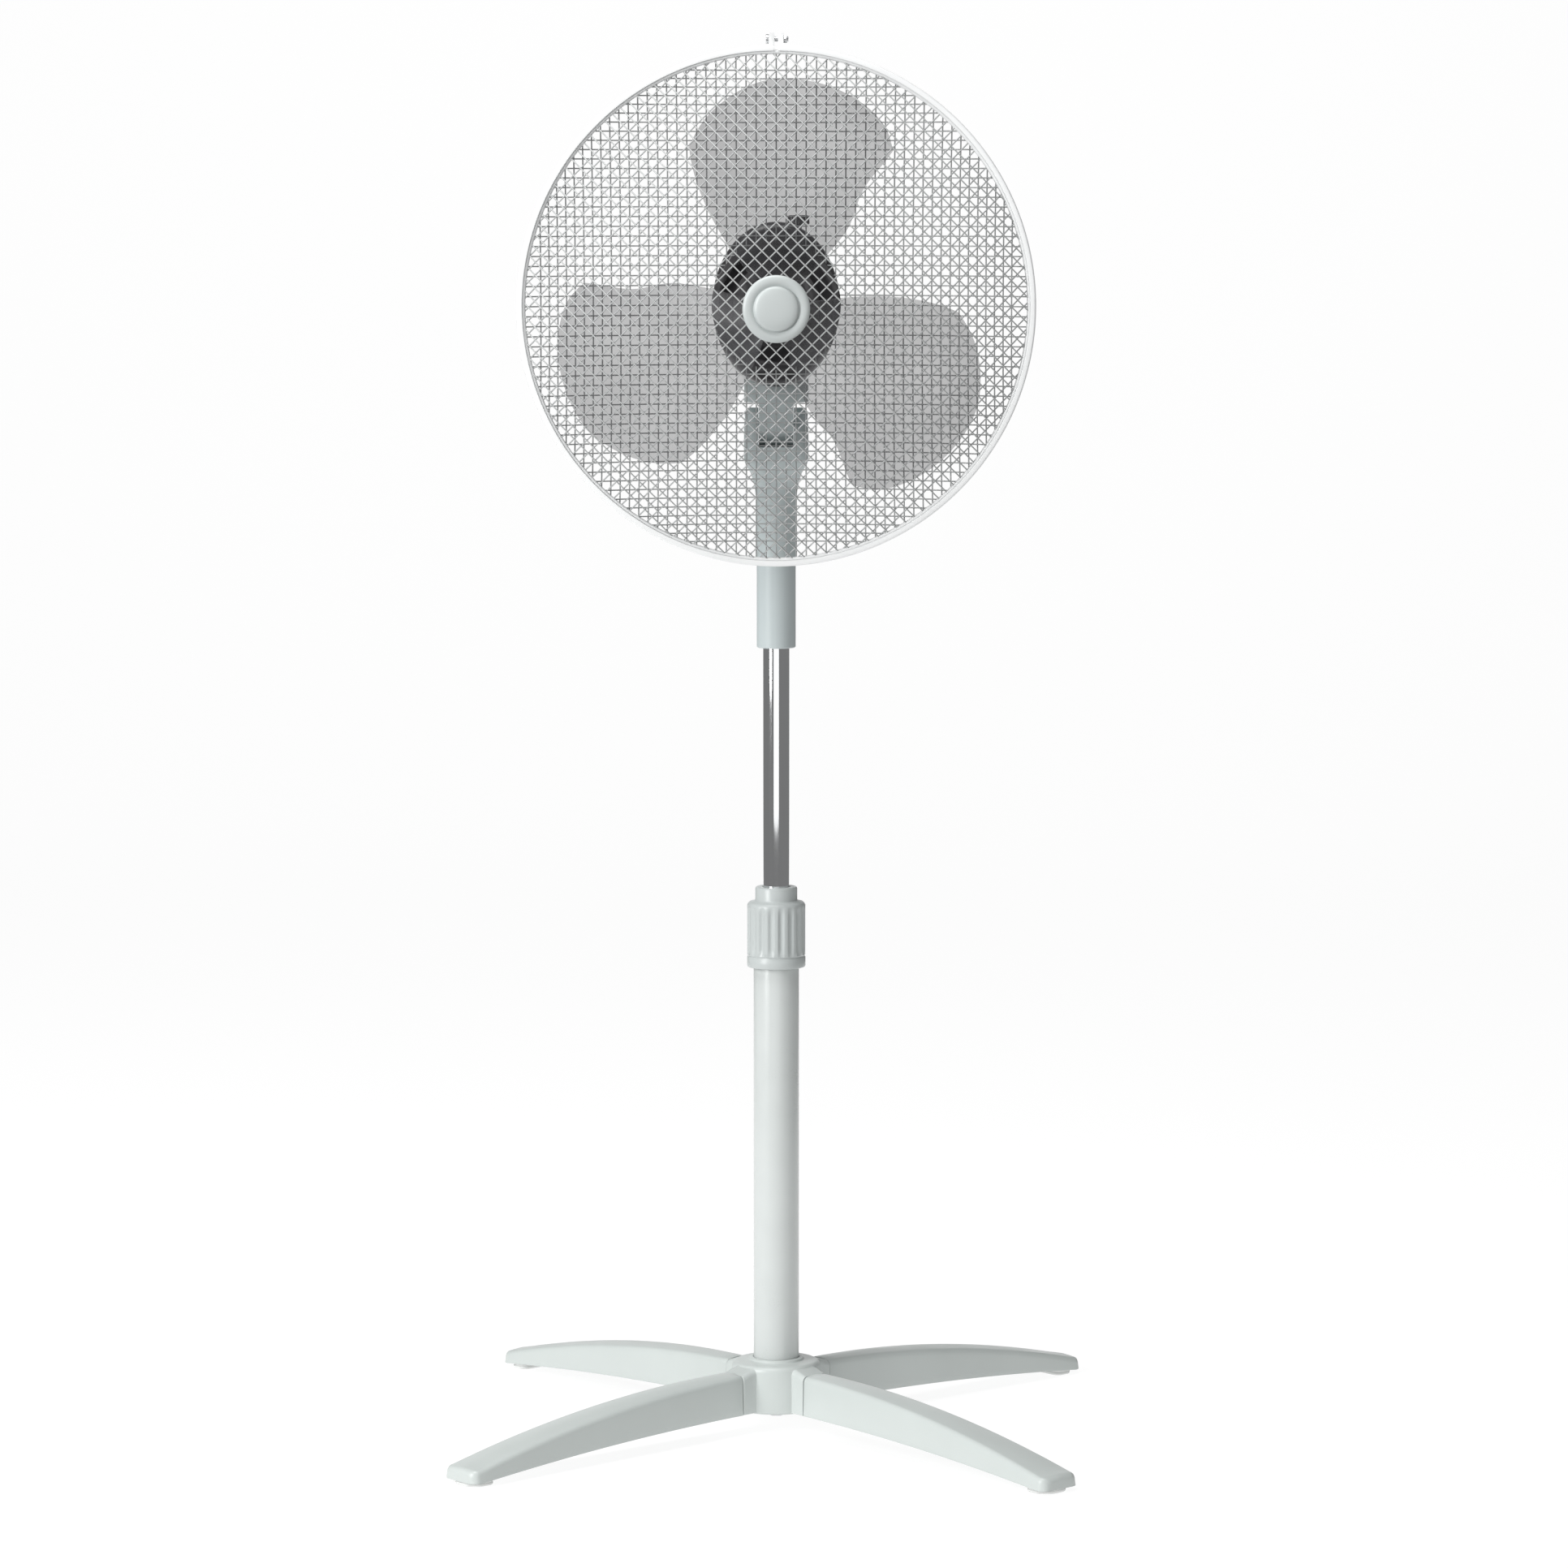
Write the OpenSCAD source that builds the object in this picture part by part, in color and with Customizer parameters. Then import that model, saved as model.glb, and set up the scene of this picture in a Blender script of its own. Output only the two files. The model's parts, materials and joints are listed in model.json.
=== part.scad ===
// Pedestal fan on a cross base: mesh guard, three blades, tilting and swinging head.
// Origin on the floor under the column. +Z is up and the fan blows towards -Y.

/* [Column] */
// Height of the motor axis above the floor at rest
motor_z = 966; // [900:1:1040]
// Outer diameter of the lower tube
lower_tube_d = 39; // [34:0.5:45]
// Wall of the lower tube
lower_tube_wall = 1.2; // [0.8:0.1:2]
// Height of the top of the height collar
collar_top_z = 469; // [400:1:520]
// Height of the collar itself
collar_h = 69; // [62:1:85]
// Thickness of the collar's gripped body over the lower tube
collar_wall = 5.5; // [4.5:0.5:8]
// Number of flutes round the collar
collar_flutes = 18; // [8:1:24]
// Outer diameter of the chromed inner tube
inner_tube_d = 22.5; // [18:0.5:25]
// Wall of the inner tube
inner_tube_wall = 1.2; // [0.8:0.1:2]
// Length of inner tube held inside the lower tube at rest
inner_tube_insert = 200; // [160:5:250]

/* [Base] */
// Radius of the leg tips from the column's centre
leg_reach = 351; // [290:1:420]
// Turn of the cross base from a symmetric X
base_turn = -3.3; // [-45:0.1:45]
// Width of a leg where it meets the hub
leg_root_w = 28; // [24:1:34]
// Width of a leg at its tip
leg_tip_w = 42; // [36:1:52]
// Height of the top of a leg at the hub
leg_root_top = 52; // [48:1:60]
// Height of the underside of a leg at the hub
leg_root_bottom = 18; // [16:1:22]
// Wall of the moulded legs
leg_wall = 2.5; // [2:0.1:3.5]
// Radius of the hub
hub_r = 38; // [34:0.5:42]
// Height of the top of the hub
hub_top = 58; // [54:1:70]
// Height of a rubber foot pad
pad_h = 12; // [10:0.5:14]

/* [Neck housing] */
// Outer diameter of the sleeve round the inner tube
sleeve_d = 33.2; // [30:0.2:38]
// Length of the sleeve below the ears
sleeve_l = 150; // [135:1:190]
// Width across the two ears
ears_w = 54.6; // [50:0.2:64]
// Thickness of the tongue between the ears
tongue_w = 29.4; // [24:0.2:34]
// Height of the tilt pivot below the motor axis
pivot_drop = 100; // [96:1:110]
// Diameter of the tilt bolt
tilt_bolt_d = 6; // [5:0.5:8]
// Number of speed keys
key_count = 4; // [4:1:4]
// Spacing of the speed keys
key_pitch = 15; // [13:0.5:16]
// Travel of a speed key
key_travel = 3.5; // [2:0.1:4]

/* [Motor] */
// Width of the motor housing
housing_w = 107; // [100:1:120]
// Height of the motor housing
housing_h = 138; // [130:1:150]
// Wall of the housing shells
shell_wall = 2.4; // [2:0.1:3]
// Diameter of the motor shaft
shaft_d = 8; // [6:0.5:10]

/* [Blades] */
// Gap between the blade tips and the guard's rim
tip_gap = 21.5; // [18:0.5:50]
// Number of blades
blade_count = 3; // [3:1:3]
// Thickness of a blade
blade_t = 2; // [1.6:0.1:3]
// Advance of the blade's helix for each radian
blade_lead = 35; // [25:1:38]
// Radius of the blade hub
blade_hub_r = 27; // [24:0.5:30]

/* [Guard] */
// Outer diameter of the guard
guard_d = 428; // [428:1:500]
// Depth of each half of the guard
guard_depth = 73; // [70:1:85]
// Spacing of the mesh wires along the surface
mesh_pitch = 8.3; // [8:0.1:14]
// Diameter of the mesh wires
mesh_wire_d = 1.3; // [1:0.1:1.6]
// Diameter of the rim wires
rim_wire_d = 3.5; // [3:0.1:4]
// Diameter of the badge in the middle of the front guard
badge_d = 55; // [45:1:80]

/* [Hidden] */
$fn = 72;

// Clearances: a running fit, a loose fit, and a gap that never closes
fit = 0.05;
loose = 0.2;
gap = 0.4;
// Overshoot of a cut past the face that it opens
cut = 1;

// Column
lower_r = lower_tube_d / 2;
lower_in_r = lower_r - lower_tube_wall;
inner_r = inner_tube_d / 2;
inner_in_r = inner_r - inner_tube_wall;
collar_z = collar_top_z - collar_h;
collar_r = lower_r + collar_wall;
hub_floor_z = leg_root_bottom - 1;
hub_floor_t = 5;
tube_z = hub_floor_z + hub_floor_t;
plug_h = 14;
base_bolt_r = 4;
washer_t = 2;
tube_top_z = collar_z + 32;
finger_z = tube_top_z + 4;
finger_top_z = collar_top_z - 14;
inner_tube_z = collar_z - inner_tube_insert + 60;

// Neck housing
sleeve_r = sleeve_d / 2;
pivot_z = motor_z - pivot_drop;
ear_r = 12;
ear_half = ears_w / 2;
slot_half = tongue_w / 2 + gap;
tongue_r = 20;
slot_z = pivot_z - tongue_r - 5;
block_z = pivot_z - 32;
sleeve_top_z = block_z - 24;
sleeve_z = sleeve_top_z - sleeve_l + 14;
block_front = 25;
block_rear = 27;
inner_tube_top_z = sleeve_top_z + 2;
bore_r = inner_r + fit;
tilt_r = tilt_bolt_d / 2;
counterbore = 5;

// Control pod on the back of the sleeve
pod_half = sleeve_r - 0.4;
pod_rear = 40;
pod_wall = 2.2;
pod_top_z = block_z + 4;
pod_z = pod_top_z - key_count * key_pitch - 30;
key_mid_z = pod_top_z - 4 - key_count * key_pitch / 2;
key_w = 16;
key_h = key_pitch - 4.6;
key_out = 5.5;
switch_rear = 28;
knob_z = sleeve_z + 31;
knob_screw_r = 3;

// Head, along the motor axis: "fwd" is the distance in front of the column's centre
swivel_z = motor_z - 63;
bracket_z = pivot_z + 17;
post_r = 6;
plate_fwd = 53;
split_fwd = 38;
rear_fwd = -80;
shaft_r = shaft_d / 2;
stator_r = 42;
rotor_r = 24;
boss_r = 24;
boss_fwd = 66;

// Guard
rim_fwd = 130;
guard_r = guard_d / 2;
rim_r = guard_r - 5.5;
blade_r = rim_r - tip_gap;
rim_wire_r = rim_wire_d / 2;
rim_offset = rim_wire_r + 0.1;
mesh_r = mesh_wire_d / 2;
layer = mesh_wire_d + 0.3;
dome_r = (rim_r * rim_r + guard_depth * guard_depth) / (2 * guard_depth);
front_apex = rim_fwd + rim_offset + guard_depth;
rear_apex = rim_fwd - rim_offset - guard_depth;
plate_r = 54;
plate_in_r = boss_r + 2;
wire_stop_r = plate_r - 4;
hoop_t = 2;
hoop_half = rim_offset + rim_wire_r + 0.3;
hoop_lip = 1.4;

// Blades
hub_fwd = 131;
hub_l = 38;
hub_back = hub_fwd - hub_l / 2;
hub_front = hub_fwd + hub_l / 2;
spinner_fwd = hub_front + 0.2;
spinner_r = 17;
pin_r = 1.5;
pin_fwd = hub_back + pin_r;

// Gears behind the motor
worm_y = 46;
worm_r = 5;
wheel_r = 13.7;
wheel_x = worm_r + wheel_r + 0.3;
crank_z = swivel_z + 22.5;
crank_pin_r = 9.3;
crank_pin_a = -35.5;
link_t = 2;
link_eye_r = 3.7;
link_z = crank_z - 1.5 - link_t;
link_l = 49.6;
link_rest = 54.5;
link_pin_at = 14.5;
link_pin_a = 150;
link_pin_r = 2;
osc_swing = 40;

// The child's +Z points forward along the motor axis, and its +Y points up
module on_axis() {
    translate([0, 0, motor_z]) rotate([90, 0, 0]) children();
}

// A round bar along the motor axis between two forward distances
module axial(r, from, to) {
    on_axis() translate([0, 0, from]) cylinder(h = to - from, r = r);
}

// An upright tube, with no bore where bore is 0
module tube(r, bore, from, to) {
    translate([0, 0, from]) difference() {
        cylinder(h = to - from, r = r);
        if (bore > 0) translate([0, 0, -cut]) cylinder(h = to - from + 2 * cut, r = bore);
    }
}

module box(low, high) {
    translate(low) cube(high - low);
}

/* ---- Base ---- */

leg_angles = [225, 315, 135, 45];

module at_leg(i) {
    rotate([0, 0, leg_angles[i] + base_turn]) children();
}

leg_root = 50;
leg_drop = 31;
leg_rise = 14.5;
leg_run = leg_reach - leg_root;
function leg_top(r) = leg_root_top - leg_drop * pow((r - leg_root) / leg_run, 2) * 1.25;
function leg_bottom(r) = leg_root_bottom - leg_rise * pow((r - leg_root) / leg_run, 2);
nose_r = 6;

// Side profile of a leg, drawn with the radius along X and the height along Y
module leg_side(inset) {
    steps = 12;
    from = leg_root - (inset > 0 ? cut : 0);
    to = leg_reach - nose_r;
    end = leg_reach - inset;
    top = [for (i = [0:steps]) let (r = from + (to - from) * i / steps) [r, leg_top(r) - inset]];
    nose = [for (a = [60:-30:0]) [
        to + (end - to) * cos(a),
        leg_top(to) - inset - nose_r + nose_r * sin(a)
    ]];
    low = [for (i = [steps:-1:0]) let (r = from + (end - from) * i / steps)
        [r, leg_bottom(r) - (inset > 0 ? 2 * inset : 0)]];
    polygon(concat(top, nose, low));
}

// Plan of a leg, which widens towards its tip
module leg_plan(inset) {
    a = leg_root_w / 2 - inset;
    b = leg_tip_w / 2 - inset;
    from = leg_root - (inset > 0 ? cut : 0);
    to = leg_reach - inset;
    polygon([[from, -a], [to - 8, -b], [to, 8 - b], [to, b - 8], [to - 8, b], [from, a]]);
}

module leg_body(inset) {
    intersection() {
        rotate([90, 0, 0]) translate([0, 0, -leg_tip_w]) linear_extrude(2 * leg_tip_w) leg_side(inset);
        translate([0, 0, -20]) linear_extrude(100) leg_plan(inset);
    }
}

screw_at = 66;
tongue_top = leg_root_top - 9;
leg_screw_r = 2.5;

module leg(i) {
    color("whitesmoke") at_leg(i) difference() {
        union() {
            difference() {
                leg_body(0);
                leg_body(leg_wall);
            }
            translate([screw_at, 0, tongue_top + 0.1]) cylinder(h = 6.5, r = 6);
        }
        translate([screw_at, 0, 0]) cylinder(h = tongue_top + 6, r = leg_screw_r);
    }
}

module base_hub() {
    lip = 3;
    color("whitesmoke") difference() {
        union() {
            translate([0, 0, hub_floor_z]) cylinder(h = hub_top - hub_floor_z, r = hub_r);
            translate([0, 0, hub_top]) cylinder(h = lip, r1 = lower_r + 4, r2 = lower_r + 2);
            for (i = [0:3]) at_leg(i) {
                rotate([90, 0, 0]) translate([0, 0, -leg_root_w / 2]) linear_extrude(leg_root_w)
                    polygon([[20, leg_root_bottom], [leg_root - 0.3, leg_root_bottom],
                        [leg_root - 0.3, leg_root_top], [hub_r, hub_top - 1], [20, hub_top - 1]]);
                box([20, -leg_root_w / 2 + leg_wall + gap, leg_root_bottom + 2],
                    [screw_at + 12, leg_root_w / 2 - leg_wall - gap, tongue_top]);
            }
        }
        translate([0, 0, tube_z]) cylinder(h = 100, r = lower_r + fit);
        translate([0, 0, hub_floor_z - cut]) cylinder(h = 20, r = base_bolt_r + loose);
        for (i = [0:3]) at_leg(i) translate([screw_at, 0, 0]) cylinder(h = 80, r = leg_screw_r + loose);
    }
}

module leg_screws() {
    head_h = 3;
    color("silver") for (i = [0:3]) at_leg(i) translate([screw_at, 0, leg_root_bottom + 2]) {
        translate([0, 0, -head_h]) cylinder(h = head_h, r = 4.6);
        cylinder(h = tongue_top + 5 - leg_root_bottom - 2, r = leg_screw_r - 0.02);
    }
}

pad_l = 24;

module foot_pads() {
    w = leg_tip_w - 2 * leg_wall - 3.5;
    to = leg_reach - leg_wall - 0.5;
    color("gainsboro") for (i = [0:3]) at_leg(i) intersection() {
        linear_extrude(pad_h) polygon([[to - pad_l, 4 - w / 2], [to - pad_l + 4, -w / 2],
            [to - 9, -w / 2], [to, 9 - w / 2], [to, w / 2 - 9], [to - 9, w / 2],
            [to - pad_l + 4, w / 2], [to - pad_l, w / 2 - 4]]);
        leg_body(leg_wall + 0.4);
    }
}

module base_washer() {
    color("silver") tube(16, base_bolt_r + loose, hub_floor_z - washer_t, hub_floor_z);
}

module base_bolt() {
    head_h = 5.3;
    top = tube_z + plug_h - 2;
    from = hub_floor_z - washer_t;
    color("silver") translate([0, 0, from]) {
        cylinder(h = top - from, r = base_bolt_r - 0.02);
        translate([0, 0, -head_h]) cylinder(h = head_h, r = 7.5, $fn = 6);
    }
}

module tube_plug() {
    color("dimgray") tube(lower_in_r - fit, base_bolt_r, tube_z, tube_z + plug_h);
}

/* ---- Column ---- */

module lower_tube() {
    color("lightgray") tube(lower_r, lower_in_r, tube_z, tube_top_z);
}

module collet() {
    color("dimgray") difference() {
        union() {
            translate([0, 0, tube_top_z - 30]) cylinder(h = 30, r = lower_in_r - fit);
            translate([0, 0, tube_top_z]) cylinder(h = finger_z - tube_top_z, r = lower_r - 0.1);
            translate([0, 0, finger_z]) cylinder(h = finger_top_z - finger_z, r1 = 17, r2 = inner_r + 2.6);
        }
        translate([0, 0, tube_top_z - 40]) cylinder(h = 120, r = inner_r + 0.1);
        for (a = [0:60:120]) rotate([0, 0, a])
            box([-30, -0.8, finger_z + 1], [30, 0.8, finger_top_z + cut]);
    }
}

module height_collar() {
    ring_r = inner_r + 6.75;
    band = 11;
    flute_z = collar_z + band;
    flute_top = collar_top_z - 16;
    color("gainsboro") difference() {
        rotate_extrude() polygon([
            [lower_r + loose, collar_z], [collar_r - 1, collar_z], [collar_r, collar_z + 1],
            [collar_r, collar_top_z - 16], [collar_r - 2, collar_top_z - 13],
            [ring_r, collar_top_z - 12], [ring_r, collar_top_z - 1], [ring_r - 1, collar_top_z],
            [inner_r + 0.35, collar_top_z], [inner_r + 0.35, finger_top_z + 0.5],
            [inner_r + 3.1, finger_top_z + 0.5], [17.4, finger_z + 0.5], [lower_r + loose, finger_z + 0.5]
        ]);
        for (i = [0:collar_flutes - 1]) rotate([0, 0, i * 360 / collar_flutes])
            translate([collar_r + 1.6, 0, flute_z]) cylinder(h = flute_top - flute_z, r = 3.2, $fn = 24);
    }
}

module inner_tube() {
    color("silver") tube(inner_r, inner_in_r, inner_tube_z, inner_tube_top_z);
}

module tube_bush() {
    flange = 20;
    color("dimgray") union() {
        translate([0, 0, inner_tube_z - flange]) cylinder(h = flange, r = lower_in_r - 0.1);
        translate([0, 0, inner_tube_z]) cylinder(h = 18, r = inner_in_r - fit);
    }
}

/* ---- Neck housing ---- */

// Front view of the ears and of the taper below them
module neck_front(inset) {
    e = ear_half - inset;
    s = sleeve_r - inset;
    top = pivot_z + ear_r + cut;
    side = [[e, block_z], [e - 3.3, block_z - 8], [s + 5, block_z - 12], [s + 1.6, block_z - 24]];
    mirrored = [for (i = [len(side) - 1:-1:0]) [-side[i][0], side[i][1]]];
    polygon(concat([[-e + 2.5, top], [e - 2.5, top], [e, top - 12]], side,
        [[s, block_z - 40], [-s, block_z - 40]], mirrored, [[-e, top - 12]]));
}

// Side view of the same, drawn with the front to the left
module neck_side() {
    union() {
        translate([0, pivot_z]) circle(r = ear_r);
        polygon([[-11.6, pivot_z + 3], [-block_front, pivot_z - 17], [-block_front, block_z],
            [-sleeve_r, block_z - 26], [-sleeve_r, block_z - 40], [sleeve_r, block_z - 40],
            [sleeve_r, block_z - 26], [block_rear, block_z], [block_rear, pivot_z - 17], [11.6, pivot_z + 3]]);
    }
}

module pod(inset) {
    box([inset - pod_half, -5, pod_z + inset], [pod_half - inset, pod_rear - inset, pod_top_z - inset]);
}

module neck_body() {
    union() {
        intersection() {
            rotate([90, 0, 0]) translate([0, 0, -60]) linear_extrude(120) neck_front(0);
            rotate([90, 0, 90]) translate([0, 0, -60]) linear_extrude(120) neck_side();
            translate([0, 0, block_z - 60]) cylinder(h = 200, r = 34);
        }
        translate([0, 0, sleeve_z]) cylinder(h = sleeve_top_z + 8 - sleeve_z, r = sleeve_r);
        pod(0);
        // seat of the mast knob
        translate([0, sleeve_r - 3, knob_z]) rotate([-90, 0, 0]) cylinder(h = 5, r = 8);
    }
}

module neck_hollow() {
    rib = 14;
    // tongue slot, hollow of the block, tube seat, sleeve's hollow and the pod's chamber
    box([-slot_half, -40, slot_z], [slot_half, 40, pivot_z + 40]);
    translate([0, 0, sleeve_z - cut]) cylinder(h = inner_tube_top_z + cut - sleeve_z, r = bore_r);
    translate([0, 0, sleeve_z + rib]) cylinder(h = 9, r = sleeve_r - pod_wall);
    translate([0, 0, knob_z + 10]) cylinder(h = sleeve_top_z - knob_z - 24, r = sleeve_r - pod_wall);
    box([pod_wall - pod_half, sleeve_r, pod_z + pod_wall], [pod_half - pod_wall, pod_rear - pod_wall, pod_top_z - pod_wall]);
    for (i = [0:key_count - 1]) translate([0, pod_rear, key_z(i)])
        cube([key_w + 0.8, 10, key_h + 0.8], center = true);
    // tilt bolt's bore and its counterbores
    translate([-60, 0, pivot_z]) rotate([0, 90, 0]) cylinder(h = 120, r = tilt_r + fit);
    for (s = [-1, 1]) translate([s * (ear_half - counterbore), 0, pivot_z]) rotate([0, s * 90, 0])
        cylinder(h = 20, r = 6.6);
    // screw holes, the mast knob's thread and the cord's inlet
    for (s = [-1, 1]) translate([s * house_screw_x, 0, house_screw_z]) rotate([-90, 0, 0]) {
        translate([0, 0, -house_screw_in]) cylinder(h = house_screw_in + 40, r = 1.55);
        translate([0, 0, house_screw_head]) cylinder(h = 40, r = 3.2);
    }
    translate([0, 0, knob_z]) rotate([-90, 0, 0]) cylinder(h = 60, r = knob_screw_r + fit);
    translate([0, inlet_y, pod_z - cut]) cylinder(h = 10, r = 4.3);
}

inlet_y = 28;
function key_z(i) = key_mid_z + (i - (key_count - 1) / 2) * key_pitch;
house_screw_x = ear_half - 5.6;
house_screw_z = pivot_z - 26;
house_screw_in = 17;
house_screw_head = 16;

module front_half() {
    box([-80, -80, 0], [80, 0, 2000]);
}

module housing_front() {
    color("darkgray") difference() {
        intersection() {
            neck_body();
            front_half();
        }
        neck_hollow();
    }
}

module housing_rear() {
    color("darkgray") difference() {
        neck_body();
        front_half();
        neck_hollow();
    }
}

module housing_screws() {
    color("silver") for (s = [-1, 1]) translate([s * house_screw_x, 0, house_screw_z]) rotate([-90, 0, 0]) {
        translate([0, 0, 0.5 - house_screw_in]) cylinder(h = house_screw_in - 0.5 + house_screw_head, r = 1.5);
        translate([0, 0, house_screw_head]) cylinder(h = 2.2, r = 2.9);
    }
}

module switch_block() {
    color("dimgray") box([-12, sleeve_r + 1, key_z(0) - 8], [12, switch_rear, key_z(key_count - 1) + 8]);
}

module capacitor() {
    color("black") box([-11, sleeve_r + 1, pod_z + pod_wall + 6], [11, switch_rear + 4, key_z(0) - 9]);
}

module cord_inlet() {
    color("black") translate([0, inlet_y, 0]) difference() {
        union() {
            translate([0, 0, pod_z - 4]) cylinder(h = 4, r = 6.5);
            translate([0, 0, pod_z]) cylinder(h = 4, r = 4.2);
        }
        translate([0, 0, pod_z - 5]) cylinder(h = 10, r = 3.1);
    }
}

module tilt_bolt() {
    head_h = 3.6;
    color("silver") translate([0, 0, pivot_z]) rotate([0, 90, 0]) {
        translate([0, 0, counterbore - ear_half - head_h]) cylinder(h = head_h, r = 5.2);
        translate([0, 0, counterbore - ear_half]) cylinder(h = 2 * (ear_half - counterbore) + 4.4, r = tilt_r);
    }
}

module tilt_nut() {
    color("silver") translate([ear_half - counterbore, 0, pivot_z]) rotate([0, 90, 0]) difference() {
        cylinder(h = 4, r = 5.8, $fn = 6);
        translate([0, 0, -cut]) cylinder(h = 6, r = tilt_r + 0.02);
    }
}

module speed_key(i) {
    inner_face = pod_rear - pod_wall;
    color("whitesmoke") translate([0, 0, key_z(i)]) union() {
        box([-key_w / 2, inner_face - 1, -key_h / 2], [key_w / 2, pod_rear + key_out, key_h / 2]);
        box([-key_w / 2 - 1.6, inner_face - 2.4, -key_h / 2 - 1.4], [key_w / 2 + 1.6, inner_face - 0.2, key_h / 2 + 1.4]);
        box([-3, switch_rear + key_travel + 0.5, -3], [3, inner_face - 1, 3]);
    }
}

module mast_knob() {
    lobes = 6;
    seat = sleeve_r + 2.3;
    color("dimgray") translate([0, 0, knob_z]) rotate([-90, 0, 0]) difference() {
        union() {
            translate([0, 0, inner_r + 0.3]) cylinder(h = seat - inner_r, r = knob_screw_r);
            translate([0, 0, seat]) cylinder(h = 12, r = 11);
        }
        for (i = [0:lobes - 1]) rotate([0, 0, i * 360 / lobes])
            translate([12.5, 0, seat + 3]) cylinder(h = 12, r = 3.4);
    }
}

/* ---- Neck and swivel ---- */

module neck_bracket() {
    color("darkgray") difference() {
        union() {
            translate([0, 0, bracket_z]) cylinder(h = swivel_z - gap - bracket_z, r = ear_half);
            intersection() {
                rotate([90, 0, 90]) translate([0, 0, -tongue_w / 2]) linear_extrude(tongue_w) union() {
                    translate([0, pivot_z]) circle(r = tongue_r);
                    translate([-tongue_r, pivot_z]) square([2 * tongue_r, bracket_z - pivot_z + 1]);
                }
                box([-40, -40, slot_z], [40, 40, bracket_z + 1]);
            }
        }
        translate([-60, 0, pivot_z]) rotate([0, 90, 0]) cylinder(h = 120, r = tilt_r + fit);
        translate([0, 0, swivel_z - 16]) cylinder(h = 20, r = post_r + fit);
        rotate([0, 0, link_pin_a]) translate([link_pin_at, 0, swivel_z - 10]) cylinder(h = 20, r = link_pin_r);
    }
}

module link_pin() {
    color("silver") rotate([0, 0, link_pin_a]) translate([link_pin_at, 0, swivel_z - 10])
        cylinder(h = link_z + link_t - swivel_z + 10, r = link_pin_r - 0.02);
}

module swivel_post() {
    color("silver") union() {
        translate([0, 0, swivel_z - 14]) cylinder(h = 16, r = post_r);
        translate([0, 0, swivel_z]) cylinder(h = 8, r = 10);
    }
}

/* ---- Motor ---- */

// Half height of the motor housing at a distance in front of the column
function motor_half(f) = housing_h / 2 * pow(1 - pow(max(0, f / rear_fwd), 2.7), 1 / 2.7);

// Outline of the housing, turned about the motor axis
module housing_outline(inset) {
    h = housing_h / 2 - inset;
    round_r = 9;
    front = plate_fwd - inset;
    back = rear_fwd + inset;
    steps = 9;
    tail = [for (i = [0:steps]) let (t = pow(i / steps, 0.7), f = back * t)
        [i == steps ? 0 : h * pow(1 - pow(t, 2.7), 1 / 2.7), f]];
    nose = [for (a = [0:30:90]) [h - round_r + round_r * cos(a), front - round_r + round_r * sin(a)]];
    polygon(concat([[0, front]], [for (i = [len(nose) - 1:-1:0]) nose[i]], tail));
}

module housing_body(inset) {
    flat = housing_w / housing_h;
    on_axis() scale([flat, 1, 1]) rotate_extrude($fn = 96) housing_outline(inset);
}

module front_of(f) {
    on_axis() translate([-100, -100, f]) cube([200, 200, 200]);
}

cover_screw_x = housing_w / 2 - 7.5;
cover_screw_up = [-22, 22];

module at_cover_screws() {
    for (s = [-1, 1]) for (up = cover_screw_up) on_axis() translate([s * cover_screw_x, up, 0]) children();
}

// Solid through a row of oval rings, each given as [half height, forward distance]
module oval_loft(rings) {
    n = 48;
    points = [for (q = rings) for (k = [0:n - 1]) let (a = 360 * k / n)
        [q[0] * housing_w / housing_h * cos(a), q[0] * sin(a), q[1]]];
    sides = [for (j = [0:len(rings) - 2]) for (k = [0:n - 1]) let (p = j * n + k, q = j * n + (k + 1) % n)
        each [[p, p + n, q + n], [p, q + n, q]]];
    first = [for (k = [0:n - 1]) k];
    last = [for (k = [n - 1:-1:0]) (len(rings) - 1) * n + k];
    on_axis() polyhedron(points, concat([first], sides, [last]));
}

// The plate's outer or inner form, which rounds off towards its front face
module plate_body(inset) {
    round_r = 9;
    up = housing_h / 2 - inset - round_r;
    front = plate_fwd - inset - round_r;
    oval_loft(concat([[up + round_r, split_fwd - (inset > 0 ? cut : 0)]],
        [for (a = [0:30:90]) [up + round_r * cos(a), front + round_r * sin(a)]]));
}

module front_plate() {
    holder_r = 12;
    color("dimgray") difference() {
        union() {
            difference() {
                plate_body(0);
                plate_body(shell_wall);
            }
            axial(boss_r, plate_fwd - shell_wall, boss_fwd);
            at_cover_screws() translate([0, 0, split_fwd]) cylinder(h = 9, r = 4);
        }
        difference() {
            axial(boss_r - 3, plate_fwd - shell_wall - cut, boss_fwd - 3);
            axial(holder_r, plate_fwd - shell_wall - 2 * cut, boss_fwd);
        }
        axial(bearing_r + 0.02, plate_fwd - shell_wall - cut, boss_fwd - 4);
        axial(shaft_r + 0.6, plate_fwd - 4, boss_fwd + cut);
        at_cover_screws() translate([0, 0, split_fwd - cut]) cylinder(h = 9, r = 1.5);
    }
}

bearing_r = 9;
vent_count = 7;

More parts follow.
